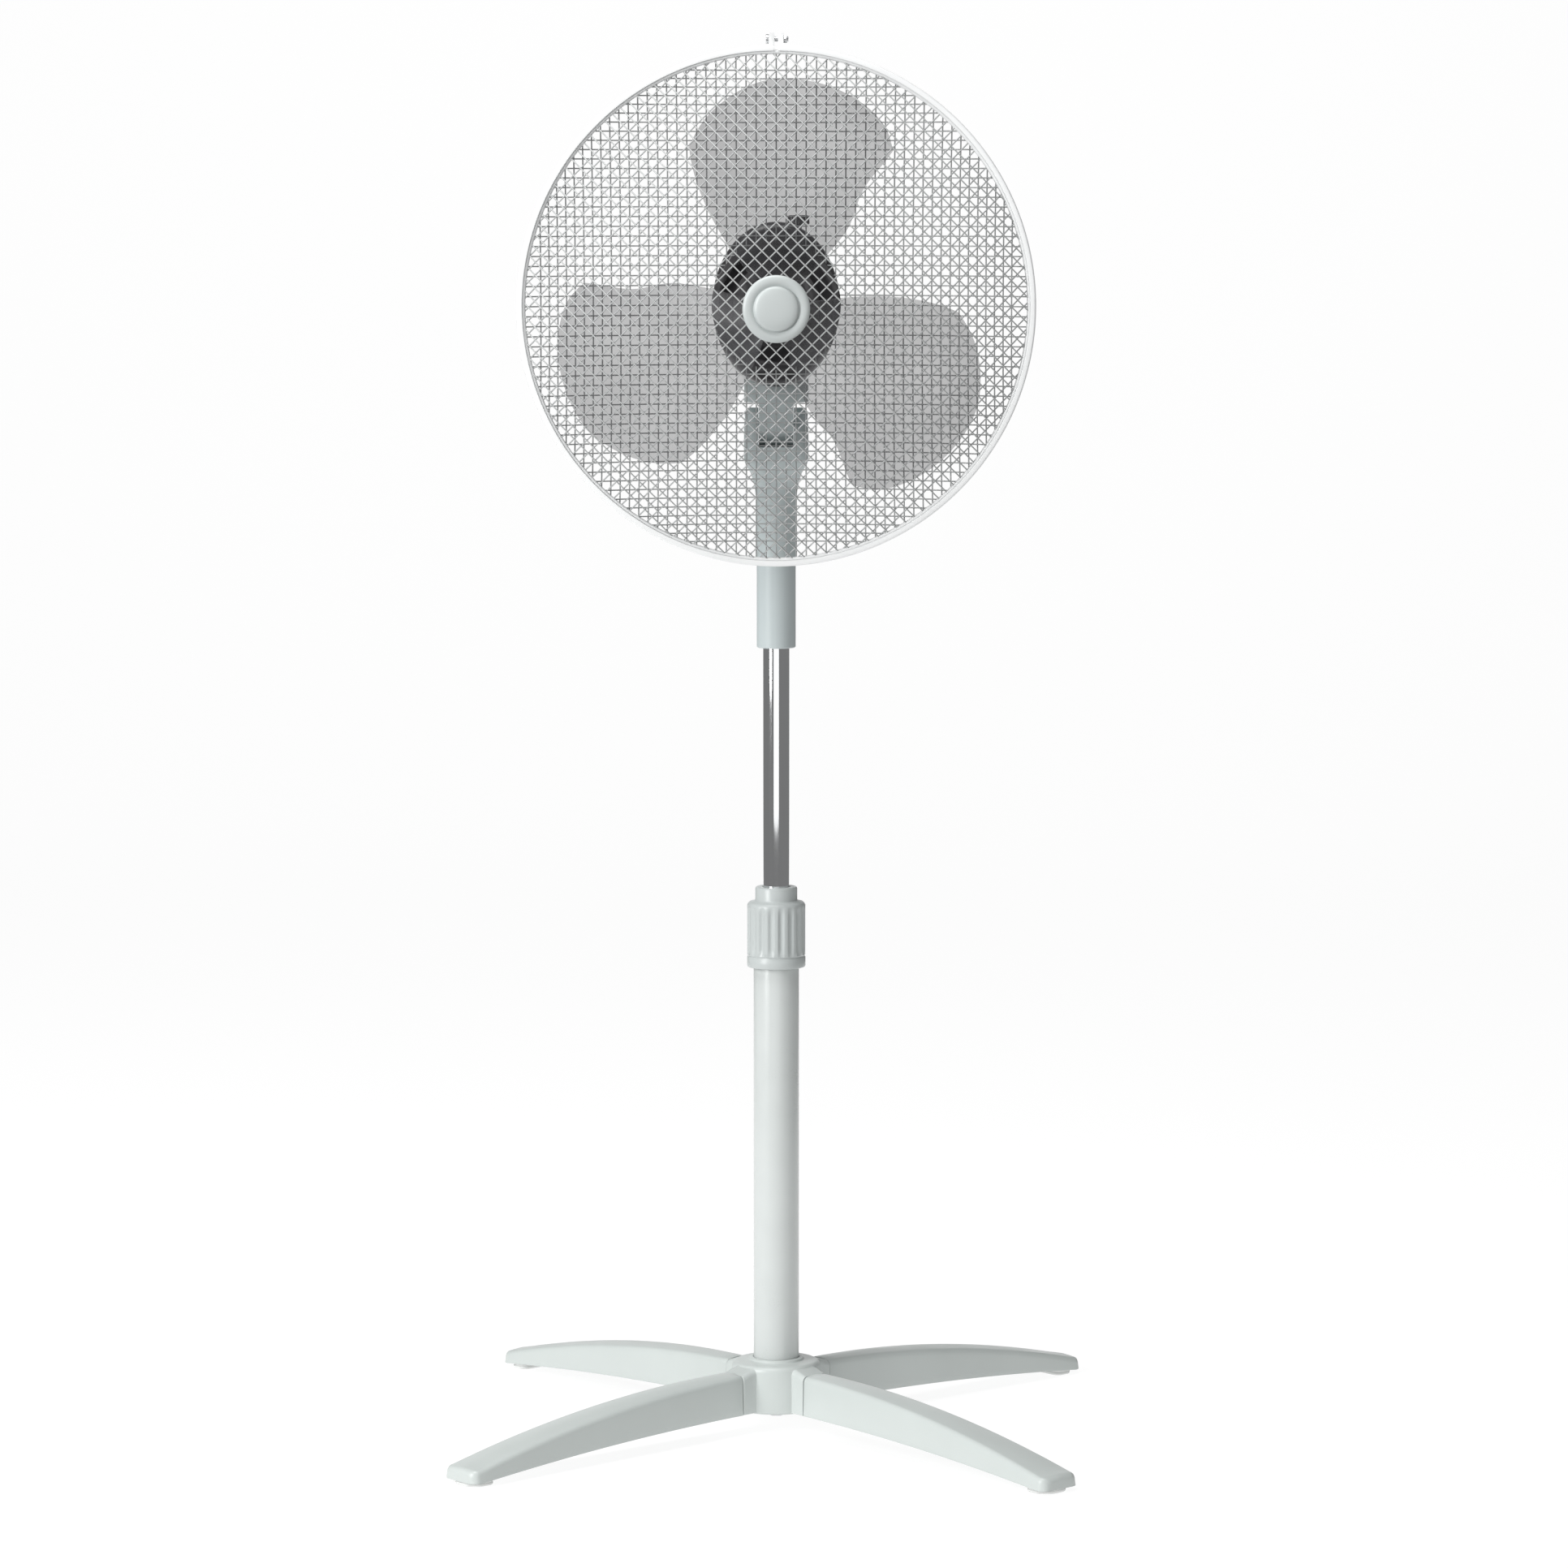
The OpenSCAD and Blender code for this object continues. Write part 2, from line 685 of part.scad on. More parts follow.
module rear_cover() {
    slot_r = link_pin_at;
    slot_w = link_pin_r + 0.6;
    knob_stem = 3.2;
    color("dimgray") difference() {
        union() {
            difference() {
                housing_body(0);
                front_of(split_fwd);
                intersection() {
                    housing_body(shell_wall);
                    box([-90, -90, swivel_z + shell_wall], [90, 90, motor_z + 90]);
                }
                box([-90, -90, swivel_z - 60], [90, 90, swivel_z]);
            }
            at_cover_screws() translate([0, 0, split_fwd - 10]) cylinder(h = 10, r = 4.2);
        }
        at_cover_screws() translate([0, 0, -100]) cylinder(h = 200, r = 1.6);
        at_cover_screws() translate([0, 0, -90]) cylinder(h = 90 + split_fwd - 7, r = 3.4);
        translate([0, 0, swivel_z - cut]) cylinder(h = 10, r = 10.5);
        translate([0, 0, swivel_z - cut]) rotate([0, 0, link_pin_a - osc_swing - 12])
            rotate_extrude(angle = 2 * osc_swing + 24) translate([slot_r - slot_w, 0])
                square([2 * slot_w, 10]);
        // room for the link's far eye at the ends of its travel
        translate([wheel_x, worm_y, link_z - 0.3])
            cylinder(h = link_t + 0.6, r = crank_pin_r + link_eye_r + 0.4);
        translate([wheel_x, worm_y, motor_z + 20]) cylinder(h = 80, r = knob_stem);
        for (i = [0:vent_count - 1]) let (x = (i - (vent_count - 1) / 2) * 8)
            on_axis() translate([x - 1.5, -22, rear_fwd - 5]) cube([3, 44, 30]);
    }
}

module cover_screws() {
    color("silver") at_cover_screws() {
        translate([0, 0, split_fwd - 7 - 2.2]) cylinder(h = 2.2, r = 3);
        translate([0, 0, split_fwd - 7]) cylinder(h = 15, r = 1.48);
    }
}

module ring(r, bore, from, to) {
    difference() {
        axial(r, from, to);
        axial(bore, from - cut, to + cut);
    }
}

stator_front = 26;
stator_back = -12;
coil_l = 9.5;

module stator_core() {
    color("silver") ring(stator_r, rotor_r + 0.4, stator_back, stator_front);
}

module stator_coils() {
    color("peru") for (f = [stator_front + 0.2, stator_back - 0.2 - coil_l])
        ring(stator_r - 3, rotor_r + 4, f, f + coil_l);
}

module front_bearing() {
    color("goldenrod") ring(bearing_r, shaft_r + fit, plate_fwd - 3, boss_fwd - 4);
}

bracket_fwd = -26;

module rear_bearing() {
    color("goldenrod") ring(bearing_r, shaft_r + fit, bracket_fwd - 4, bracket_fwd + 0.5);
}

module gearbox_case() {
    wall = 2.5;
    low = [-9, -bracket_fwd + 4, motor_z - 14];
    high = [wheel_x + wheel_r + 3, worm_y + wheel_r + 3, motor_z + 14];
    web = [-24, -7];
    foot_z = swivel_z + 8;
    color("dimgray") difference() {
        union() {
            axial(36, bracket_fwd - 4, bracket_fwd);
            box(low, high);
            box([web[0], -bracket_fwd, foot_z], [web[1], -bracket_fwd + 4, motor_z - 10]);
            box([web[0], -bracket_fwd - 4, foot_z], [8, -bracket_fwd + 4, foot_z + 3]);
            box([-1, -6, foot_z], [8, -bracket_fwd, foot_z + 3]);
        }
        box(low + [wall, 1.5, wall], high - [wall, wall, wall]);
        axial(bearing_r, bracket_fwd - 4, bracket_fwd + cut);
        axial(shaft_r + 0.6, bracket_fwd - 8, bracket_fwd);
        translate([wheel_x, worm_y, motor_z - 30]) cylinder(h = 60, r = crank_shaft_r + fit);
    }
}

crank_shaft_r = 3;

module worm_wheel() {
    teeth = 24;
    root_r = wheel_r - 1.6;
    color("ivory") translate([wheel_x, worm_y, motor_z - 3]) difference() {
        union() {
            cylinder(h = 6, r = root_r);
            for (i = [0:teeth - 1]) rotate([0, 0, i * 360 / teeth])
                translate([root_r - 0.5, -0.8, 0]) cube([wheel_r - root_r + 0.5, 1.6, 6]);
        }
        translate([0, 0, -cut]) cylinder(h = 10, r = crank_shaft_r + fit);
    }
}

module crank() {
    color("silver") translate([wheel_x, worm_y, crank_z]) {
        union() {
            translate([0, 0, 1]) cylinder(h = 3, r = 11.6);
            cylinder(h = motor_z + 13 - crank_z, r = crank_shaft_r);
            rotate([0, 0, crank_pin_a]) translate([crank_pin_r, 0, -1]) cylinder(h = 3, r = 2);
        }
    }
}

module link_arm() {
    end_r = link_eye_r;
    pin = [link_pin_at * cos(link_pin_a), link_pin_at * sin(link_pin_a), link_z];
    color("silver") translate(pin) rotate([0, 0, link_rest]) difference() {
        union() {
            cylinder(h = link_t, r = end_r);
            translate([link_l, 0, 0]) cylinder(h = link_t, r = end_r);
            translate([0, -3, 0]) cube([link_l, 6, link_t]);
        }
        translate([0, 0, -cut]) cylinder(h = link_t + 2 * cut, r = link_pin_r + fit);
        translate([link_l, 0, -cut]) cylinder(h = link_t + 2 * cut, r = 2.3);
    }
}

module osc_knob() {
    knob_h = 8;
    under = motor_z + motor_half(-worm_y + 9) + 0.3;
    color("dimgray") translate([wheel_x, worm_y, 0]) union() {
        translate([0, 0, motor_z + 15]) cylinder(h = under - motor_z - 14, r = 2.8);
        translate([0, 0, under]) cylinder(h = knob_h - 1, r = 9.5);
        translate([0, 0, under + knob_h - 1]) cylinder(h = 1, r1 = 9.5, r2 = 8.5);
    }
}

/* ---- Rotor ---- */

// A bar across the shaft where the blade hub's slot takes the pin
module across_hub(r, length) {
    on_axis() translate([-length / 2, 0, pin_fwd]) rotate([0, 90, 0]) cylinder(h = length, r = r);
}

module motor_shaft() {
    color("silver") difference() {
        axial(shaft_r - 0.01, -worm_y - 12, spinner_fwd + 8);
        across_hub(pin_r, 20);
    }
}

module rotor_core() {
    color("gray") ring(rotor_r, shaft_r, stator_back, stator_front);
}

module worm() {
    thread = 2.6;
    color("silver") difference() {
        axial(worm_r, -worm_y - 10, -worm_y + 9);
        axial(shaft_r, -worm_y - 11, -worm_y + 10);
        for (i = [0:5]) let (f = -worm_y - 8 + i * thread)
            on_axis() translate([0, 0, f]) rotate_extrude() translate([worm_r - 0.6, 0]) square([2, 1.3]);
    }
}

// Edges of a blade as [radius, angle], and its tip as [share of the width, radius]
left_edge = [[20, -40], [75, -37], [117, -33], [152, -28], [187, -20]];
right_edge = [[20, 46], [84, 43], [117, 37], [155, 37], [172, 36], [187, 30]];
tip_line = [[0, 0.80], [0.08, 0.885], [0.2, 0.952], [0.35, 0.992], [0.55, 1], [0.75, 0.984], [0.9, 0.94], [1, 0.855]];
blade_steps = [12, 8];

function blade_point(i, j, side) =
    let (
        u = i / blade_steps[0],
        root = blade_hub_r - 3,
        r = root + (lookup(u, tip_line) * blade_r - root) * j / blade_steps[1],
        k = r * 187 / blade_r,
        low = lookup(k, left_edge),
        high = lookup(k, right_edge),
        a = low + (high - low) * u,
        ease = 0.62 + 0.38 * min(1, (r - root) / 60),
        camber = 4 * (1 - pow(2 * u - 1, 2)),
        f = hub_fwd - blade_lead * ease * (a - 2) * PI / 180 + camber + side * blade_t / 2
    )
    [r * sin(a), r * cos(a), f];

module blade() {
    n = blade_steps[0];
    m = blade_steps[1];
    w = n + 1;
    sheet = w * (m + 1);
    points = [for (side = [1, -1]) for (j = [0:m]) for (i = [0:n]) blade_point(i, j, side)];
    front = [for (j = [0:m - 1]) for (i = [0:n - 1]) let (p = j * w + i)
        each [[p, p + w, p + w + 1], [p, p + w + 1, p + 1]]];
    back = [for (t = front) [t[2] + sheet, t[1] + sheet, t[0] + sheet]];
    rim = concat(
        [for (i = [0:n - 1]) i],
        [for (j = [0:m - 1]) j * w + n],
        [for (i = [n:-1:1]) m * w + i],
        [for (j = [m:-1:1]) j * w]
    );
    edge = [for (q = [0:len(rim) - 1]) let (a = rim[q], b = rim[(q + 1) % len(rim)])
        each [[a, b, b + sheet], [a, b + sheet, a + sheet]]];
    polyhedron(points, concat(front, back, edge), convexity = 6);
}

module fan_blades() {
    color("lightgray") difference() {
        union() {
            axial(blade_hub_r, hub_back, hub_front);
            on_axis() for (i = [0:blade_count - 1]) rotate([0, 0, i * 360 / blade_count]) blade();
        }
        axial(shaft_r + 0.02, hub_back - 10, hub_front + cut);
        on_axis() translate([-12, -1.6, hub_back - cut]) cube([24, 3.2, 4.2]);
    }
}

module blade_pin() {
    color("silver") across_hub(pin_r - 0.02, 22);
}

module spinner() {
    color("gainsboro") difference() {
        on_axis() translate([0, 0, spinner_fwd]) rotate_extrude() polygon([
            [0, 0], [spinner_r, 0], [spinner_r, 5], [spinner_r - 3, 10], [spinner_r - 8, 13], [0, 14]
        ]);
        axial(shaft_r, spinner_fwd - cut, spinner_fwd + 8.5);
    }
}

/* ---- Guard ---- */

// One mesh wire: an arc of the sphere in the plane at offset c, from the rim to the rim,
// or in two pieces where it meets the round middle of radius hole
module mesh_wire(c, sphere_r, end_r, hole) {
    arc_r = sqrt(sphere_r * sphere_r - c * c);
    outer = asin(sqrt(end_r * end_r - c * c) / arc_r);
    inner = hole > abs(c) ? asin(sqrt(hole * hole - c * c) / arc_r) : 0;
    translate([c, 0, 0]) rotate([90, 0, 90]) {
        if (inner == 0) mesh_arc(arc_r, 90 - outer, 2 * outer);
        if (inner > 0) {
            mesh_arc(arc_r, 90 - outer, outer - inner);
            mesh_arc(arc_r, 90 + inner, outer - inner);
        }
    }
}

module mesh_arc(arc_r, start, sweep) {
    // a square section as wide as the wire, because there are hundreds of wires
    rotate([0, 0, start]) rotate_extrude(angle = sweep, $fn = 96)
        translate([arc_r - mesh_r, -mesh_r]) square(mesh_wire_d);
}

module mesh_family(sphere_r, end_r, hole) {
    step = mesh_pitch / sphere_r * 180 / PI;
    last = floor(asin((rim_r - 14) / sphere_r) / step);
    for (i = [-last:last]) mesh_wire(sphere_r * sin(i * step), sphere_r, end_r, hole);
}

// Both families of a dome whose sphere is centred on the origin and bulges along +Z
module mesh_dome(hole) {
    mesh_family(dome_r, rim_r - 0.3, hole);
    rotate([0, 0, 90]) mesh_family(dome_r - layer, rim_r - 1.3, hole);
}

module front_guard_mesh() {
    color("white") on_axis() translate([0, 0, front_apex - dome_r]) rotate([0, 0, 45]) mesh_dome(0);
}

module rear_guard_mesh() {
    color("white") on_axis() translate([0, 0, rear_apex + dome_r]) mirror([0, 0, 1]) mesh_dome(wire_stop_r);
}

module rim_ring(f) {
    on_axis() translate([0, 0, f]) rotate_extrude($fn = 144) translate([rim_r, 0]) circle(r = rim_wire_r, $fn = 24);
}

module front_guard_rim() {
    color("white") rim_ring(rim_fwd + rim_offset);
}

module rear_guard_rim() {
    color("white") rim_ring(rim_fwd - rim_offset);
}

module rear_guard_plate() {
    back = plate_fwd + 0.1;
    color("white") on_axis() rotate_extrude() polygon([
        [plate_in_r, back], [plate_r, back], [plate_r, back + 9.4], [plate_r - 7, back + 9.4],
        [plate_r - 7, back + 2.5], [plate_in_r, back + 2.5]
    ]);
}

module guard_nut() {
    back = plate_fwd + 2.7;
    lobes = 8;
    color("gainsboro") difference() {
        union() {
            ring(36, boss_r + 0.1, back, back + 3);
            ring(32, boss_r + 0.1, back, boss_fwd - 1);
        }
        for (i = [0:lobes - 1]) on_axis() rotate([0, 0, i * 360 / lobes])
            translate([34.5, 0, back + 3]) cylinder(h = 20, r = 4.5);
    }
}

lug_x = [1.5, 6];
lug_h = 10;

module guard_hoop() {
    r = guard_r;
    lip_r = rim_r + 0.7;
    color("white") difference() {
        union() {
            on_axis() translate([0, 0, rim_fwd]) rotate_extrude($fn = 144) polygon([
                [r, -hoop_half - hoop_lip], [r, hoop_half + hoop_lip], [lip_r, hoop_half + hoop_lip],
                [lip_r, hoop_half], [r - hoop_t, hoop_half], [r - hoop_t, -hoop_half],
                [lip_r, -hoop_half], [lip_r, -hoop_half - hoop_lip]
            ]);
            for (s = [-1, 1]) on_axis() translate([s > 0 ? lug_x[0] : -lug_x[1], r - hoop_t, rim_fwd - 5])
                cube([lug_x[1] - lug_x[0], hoop_t + lug_h, 10]);
        }
        on_axis() translate([-lug_x[0], r - 20, rim_fwd - 20]) cube([2 * lug_x[0], 60, 40]);
        on_axis() translate([-20, r + 5, rim_fwd]) rotate([0, 90, 0]) cylinder(h = 40, r = 2.1);
    }
}

module hoop_screw() {
    color("silver") on_axis() translate([0, guard_r + 5, rim_fwd]) rotate([0, 90, 0]) {
        translate([0, 0, -lug_x[1]]) cylinder(h = 2 * lug_x[1] + 4, r = 2);
        translate([0, 0, -lug_x[1] - 2.4]) cylinder(h = 2.4, r = 3.8);
        translate([0, 0, lug_x[1]]) cylinder(h = 3, r = 3.6, $fn = 6);
    }
}

badge_fwd = front_apex + mesh_r + 0.3;
badge_leg = 1.5 * mesh_pitch;
clip_fwd = front_apex - layer - mesh_r - 1.2;

module guard_badge() {
    r = badge_d / 2;
    color("gainsboro") union() {
        on_axis() translate([0, 0, badge_fwd]) rotate_extrude() polygon([
            [0, 0], [r, 0], [r, 1.6], [r - 1.5, 3], [r - 8.5, 3.6], [r - 9, 5.4], [r - 11, 6.6], [0, 7.4]
        ]);
        on_axis() rotate([0, 0, 45]) for (x = [-1, 1]) for (y = [-1, 1])
            translate([x * badge_leg, y * badge_leg, clip_fwd - 2]) cylinder(h = badge_fwd - clip_fwd + 3, r = 1.5);
    }
}

module badge_clip() {
    color("gainsboro") difference() {
        axial(badge_d / 2 - 5, clip_fwd - 2, clip_fwd);
        on_axis() rotate([0, 0, 45]) for (x = [-1, 1]) for (y = [-1, 1])
            translate([x * badge_leg, y * badge_leg, clip_fwd - 3]) cylinder(h = 4, r = 1.52);
    }
}

base_hub();
leg(0);  // leg_front_left
leg(1);  // leg_front_right
leg(2);  // leg_rear_left
leg(3);  // leg_rear_right
leg_screws();
foot_pads();
base_washer();
base_bolt();
tube_plug();
lower_tube();
collet();
height_collar();
inner_tube();
tube_bush();
housing_front();
housing_rear();
housing_screws();
switch_block();
capacitor();
cord_inlet();
tilt_bolt();
tilt_nut();
speed_key(0);  // speed_key_0
speed_key(1);  // speed_key_1
speed_key(2);  // speed_key_2
speed_key(3);  // speed_key_3
mast_knob();
neck_bracket();
link_pin();
swivel_post();
front_plate();
rear_cover();
cover_screws();
stator_core();
stator_coils();
front_bearing();
rear_bearing();
gearbox_case();
rear_guard_mesh();
rear_guard_rim();
rear_guard_plate();
guard_nut();
front_guard_mesh();
front_guard_rim();
guard_hoop();
hoop_screw();
guard_badge();
badge_clip();
motor_shaft();
rotor_core();
worm();
fan_blades();
blade_pin();
spinner();
worm_wheel();
crank();
link_arm();
osc_knob();
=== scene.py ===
"""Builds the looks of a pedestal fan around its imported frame."""

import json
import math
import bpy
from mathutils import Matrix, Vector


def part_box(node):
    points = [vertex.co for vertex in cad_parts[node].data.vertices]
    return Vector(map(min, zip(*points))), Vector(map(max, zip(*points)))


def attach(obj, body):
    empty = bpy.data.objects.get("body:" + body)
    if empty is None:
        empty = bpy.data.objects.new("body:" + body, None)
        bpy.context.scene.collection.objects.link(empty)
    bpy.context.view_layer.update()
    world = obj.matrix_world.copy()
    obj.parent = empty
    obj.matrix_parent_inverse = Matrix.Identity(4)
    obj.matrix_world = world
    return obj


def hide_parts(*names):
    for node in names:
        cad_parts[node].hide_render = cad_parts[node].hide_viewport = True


bl_info = {
    "name": "Pedestal Fan",
    "version": (1, 0, 0),
    "blender": (4, 5, 0),
    "location": "View3D > Sidebar > Fan",
    "description": "Builds a pedestal fan with a domed mesh guard around its packed frame",
    "category": "Object",
}

import bmesh
import bpy
from mathutils import Matrix, Vector

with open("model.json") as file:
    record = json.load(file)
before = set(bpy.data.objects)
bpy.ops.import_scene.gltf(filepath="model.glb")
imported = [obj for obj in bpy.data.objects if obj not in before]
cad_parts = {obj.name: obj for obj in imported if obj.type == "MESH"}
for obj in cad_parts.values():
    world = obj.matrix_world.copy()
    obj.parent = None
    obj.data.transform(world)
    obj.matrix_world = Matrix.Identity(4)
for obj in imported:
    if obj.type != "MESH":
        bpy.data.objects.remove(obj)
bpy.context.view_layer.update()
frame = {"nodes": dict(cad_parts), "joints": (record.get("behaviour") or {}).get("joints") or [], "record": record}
RECORD = frame["record"]
JOINTS = {joint["name"]: joint for joint in frame["joints"]}
SLOTS = {row["node"]: row["material_slot"] for row in RECORD["subparts"]}
BODY_OF = {node: body for body, nodes in RECORD["behaviour"]["bodies"].items() for node in nodes}
COLOURS = {m["slot"]: tuple(m["base_color"][:3]) for m in RECORD["materials"]}

MM = 0.001
TAU = 2 * math.pi
UP = Vector((0, 0, 1))
MOTOR_Z = JOINTS["rotor_spin"]["pos_m"][2]
PIVOT_Z = JOINTS["head_tilt"]["pos_m"][2]
SWIVEL_Z = JOINTS["head_swing"]["pos_m"][2]
# Turns a piece drawn along +Z, with +Y up, onto the motor axis, where +Z faces forward
ON_AXIS = Matrix.Translation((0, 0, MOTOR_Z)) @ Matrix.Rotation(math.pi / 2, 4, "X")


def size(node):
    low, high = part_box(node)
    return high - low


def forward(node):
    """How far in front of the column a node starts and ends."""
    low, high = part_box(node)
    return -high.y, -low.y


# ---- Settings -------------------------------------------------------------------------

def length(name, default, description, low=0.0, high=1.0):
    return bpy.props.FloatProperty(name=name, default=default, min=low, max=high, precision=5,
                                   description=description, unit="LENGTH")


def colour(name, default, description):
    return bpy.props.FloatVectorProperty(name=name, default=default, size=3, min=0, max=1,
                                         description=description, subtype="COLOR")


class FanBaseSettings(bpy.types.PropertyGroup):
    leg_root_width: length("Leg width at the hub", 28 * MM, "Width of a leg where it meets the hub")
    leg_tip_width: length("Leg width at the tip", 42 * MM, "Width of a leg at its tip")
    leg_root_top: length("Leg top at the hub", 52 * MM, "Height of the leg's top at the hub")
    leg_root_bottom: length("Leg underside at the hub", 18 * MM, "Height of the leg's lower edge at the hub")
    leg_drop: length("Leg drop", 38.75 * MM, "How far the leg's top falls to its tip")
    leg_rise: length("Leg underside drop", 14.5 * MM, "How far the leg's lower edge falls to its tip")
    leg_wall: length("Leg wall", 2.5 * MM, "Wall of the moulded legs")
    edge_round: length("Edge rounding", 5 * MM, "Rounding along the leg's upper edges")


class FanColumnSettings(bpy.types.PropertyGroup):
    tube_wall: length("Tube wall", 1.2 * MM, "Wall of both tubes")
    flutes: bpy.props.IntProperty(name="Flutes", default=18, min=6, max=30,
                                  description="Number of flutes round the collar")
    flute_depth: length("Flute depth", 1.5 * MM, "Depth of a flute")


class FanGuardSettings(bpy.types.PropertyGroup):
    pitch: length("Wire pitch", 8.3 * MM, "Spacing of the mesh wires along the dome")
    wire: length("Wire diameter", 1.15 * MM, "Diameter of the mesh wires")
    rim_inset: length("Rim inset", 5.5 * MM, "How far the rim wire lies inside the hoop's outer edge")
    rim_wire: length("Rim wire diameter", 3.5 * MM, "Diameter of the rim wires")
    depth: length("Dome depth", 73 * MM, "Depth of each half of the guard")


class FanBladeSettings(bpy.types.PropertyGroup):
    count: bpy.props.IntProperty(name="Blades", default=3, min=2, max=7, description="Number of blades")
    thickness: length("Blade thickness", 2 * MM, "Thickness of a blade")
    lead: length("Blade lead", 35 * MM, "Advance of a blade's helix for each radian")
    hub_radius: length("Hub radius", 27 * MM, "Radius of the blade hub")


class FanFinishSettings(bpy.types.PropertyGroup):
    base: colour("Base plastic", COLOURS["base_plastic"], "Colour of the legs and the hub")
    pale: colour("Trim plastic", COLOURS["pale_plastic"], "Colour of the collar, keys and badge")
    neck: colour("Neck plastic", COLOURS["grey_plastic"], "Colour of the neck housing")
    motor: colour("Motor plastic", COLOURS["dark_plastic"], "Colour of the motor's shells")
    blade: colour("Blade plastic", COLOURS["blade_plastic"], "Tint of the blades")
    blade_cover: bpy.props.FloatProperty(name="Blade cover", default=0.32, min=0, max=1, subtype="FACTOR",
                                         description="How much of the light a blade stops")
    guard: colour("Guard paint", COLOURS["guard_paint"], "Colour of the guard's frame")
    mesh: colour("Mesh paint", COLOURS["mesh_paint"], "Colour of the guard's fine wires")
    tube: colour("Tube paint", COLOURS["tube_paint"], "Colour of the lower tube")


class FanStageSettings(bpy.types.PropertyGroup):
    camera_distance: length("Camera distance", 4.911, "Distance from the column to the camera", 1, 10)
    camera_height: length("Camera height", 1.075, "Height of the camera above the floor", 0, 3)
    aim_height: length("Aim height", 0.557, "Height of the point that the camera looks at", 0, 2)
    key_power: bpy.props.FloatProperty(name="Key light", default=95, min=0, max=1000, unit="POWER",
                                       description="Power of the large light at the front left")
    fill: bpy.props.FloatProperty(name="Fill", default=0.2, min=0, max=2,
                                  description="Strength of the even light from all round")


SETTINGS = {
    "fan_base": FanBaseSettings,
    "fan_column": FanColumnSettings,
    "fan_guard": FanGuardSettings,
    "fan_blade": FanBladeSettings,
    "fan_finish": FanFinishSettings,
    "fan_stage": FanStageSettings,
}


# ---- Node trees -----------------------------------------------------------------------

class Value:
    """One output of a node tree. Python's operators on it add the Math nodes that work it out."""

    def __init__(self, tree, socket):
        self.tree = tree
        self.socket = socket

    def maths(self, operation, *others):
        return add_node(self.tree, "ShaderNodeMath", {"operation": operation},
                        dict(enumerate((self,) + others)))

    def __add__(self, other):
        return self.maths("ADD", other)

    def __sub__(self, other):
        return self.maths("SUBTRACT", other)

    def __rsub__(self, other):
        return self.maths("MULTIPLY_ADD", -1.0, other)

    def __mul__(self, other):
        return self.maths("MULTIPLY", other)

    def __truediv__(self, other):
        return self.maths("DIVIDE", other)

    def __pow__(self, other):
        return self.maths("POWER", other)

    def __abs__(self):
        return self.maths("ABSOLUTE")

    def __lt__(self, other):
        return self.maths("LESS_THAN", other)

    __radd__ = __add__
    __rmul__ = __mul__

    def sqrt(self):
        return self.maths("SQRT")

    def sine(self):
        return self.maths("SINE")

    def cosine(self):
        return self.maths("COSINE")


def plug(tree, socket, value):
    if isinstance(value, Value):
        tree.links.new(value.socket, socket)
    elif value is not None:
        socket.default_value = value


def add_node(tree, kind, settings=None, sockets=None, output=0):
    """Adds one node. Its settings are set first, then the values or links of its sockets."""
    node = tree.nodes.new(kind)
    for name, value in (settings or {}).items():
        if name == "stops":
            while len(node.color_ramp.elements) > 1:
                node.color_ramp.elements.remove(node.color_ramp.elements[-1])
            node.color_ramp.elements[0].position = value[0][0]
            for place, _ in value[1:]:
                node.color_ramp.elements.new(place)
            for element, (_, shade) in zip(node.color_ramp.elements, value):
                element.color = shade if len(shade) == 4 else (*shade, 1)
        else:
            setattr(node, name, value)
    for key, value in (sockets or {}).items():
        plug(tree, node.inputs[key], value)
    return Value(tree, node.outputs[output]) if output is not None else node


class Finish:
    """A material under construction: a Principled shader and the nodes that feed it."""

    def __init__(self, name):
        self.material = bpy.data.materials.new(name)
        self.material.use_nodes = True
        self.tree = self.material.node_tree
        self.shader = next(n for n in self.tree.nodes if n.type == "BSDF_PRINCIPLED")
        self.place = self.node("ShaderNodeTexCoord", output=3)

    def node(self, kind, settings=None, sockets=None, output=0):
        return add_node(self.tree, kind, settings, sockets, output)

    def noise(self, scale, detail=3.0, stretch=(1, 1, 1)):
        place = self.place
        if stretch != (1, 1, 1):
            place = self.node("ShaderNodeMapping", None, {"Vector": place, "Scale": stretch})
        return self.node("ShaderNodeTexNoise", None, {"Vector": place, "Scale": scale, "Detail": detail})

    def spread(self, value, low, high):
        """Stretches a noise's middle range to low..high."""
        return self.node("ShaderNodeMapRange", None, {
            "Value": value, "From Min": 0.3, "From Max": 0.7, "To Min": low, "To Max": high})

    def tint(self, base, value, amount):
        """The base colour, lighter and darker by the given share."""
        dark = tuple(c * (1 - amount) for c in base)
        light = tuple(min(1, c * (1 + amount)) for c in base)
        return self.node("ShaderNodeMix", {"data_type": "RGBA"}, {
            "Factor": self.spread(value, 0, 1), 6: (*dark, 1), 7: (*light, 1)}, output=2)

    def bump(self, height, depth, strength=0.4, under=None):
        sockets = {"Height": height, "Distance": depth, "Strength": strength, "Normal": under}
        return self.node("ShaderNodeBump", None, sockets)

    def set(self, **values):
        for name, value in values.items():
            plug(self.tree, self.shader.inputs[name.replace("_", " ")], value)
        return self.material


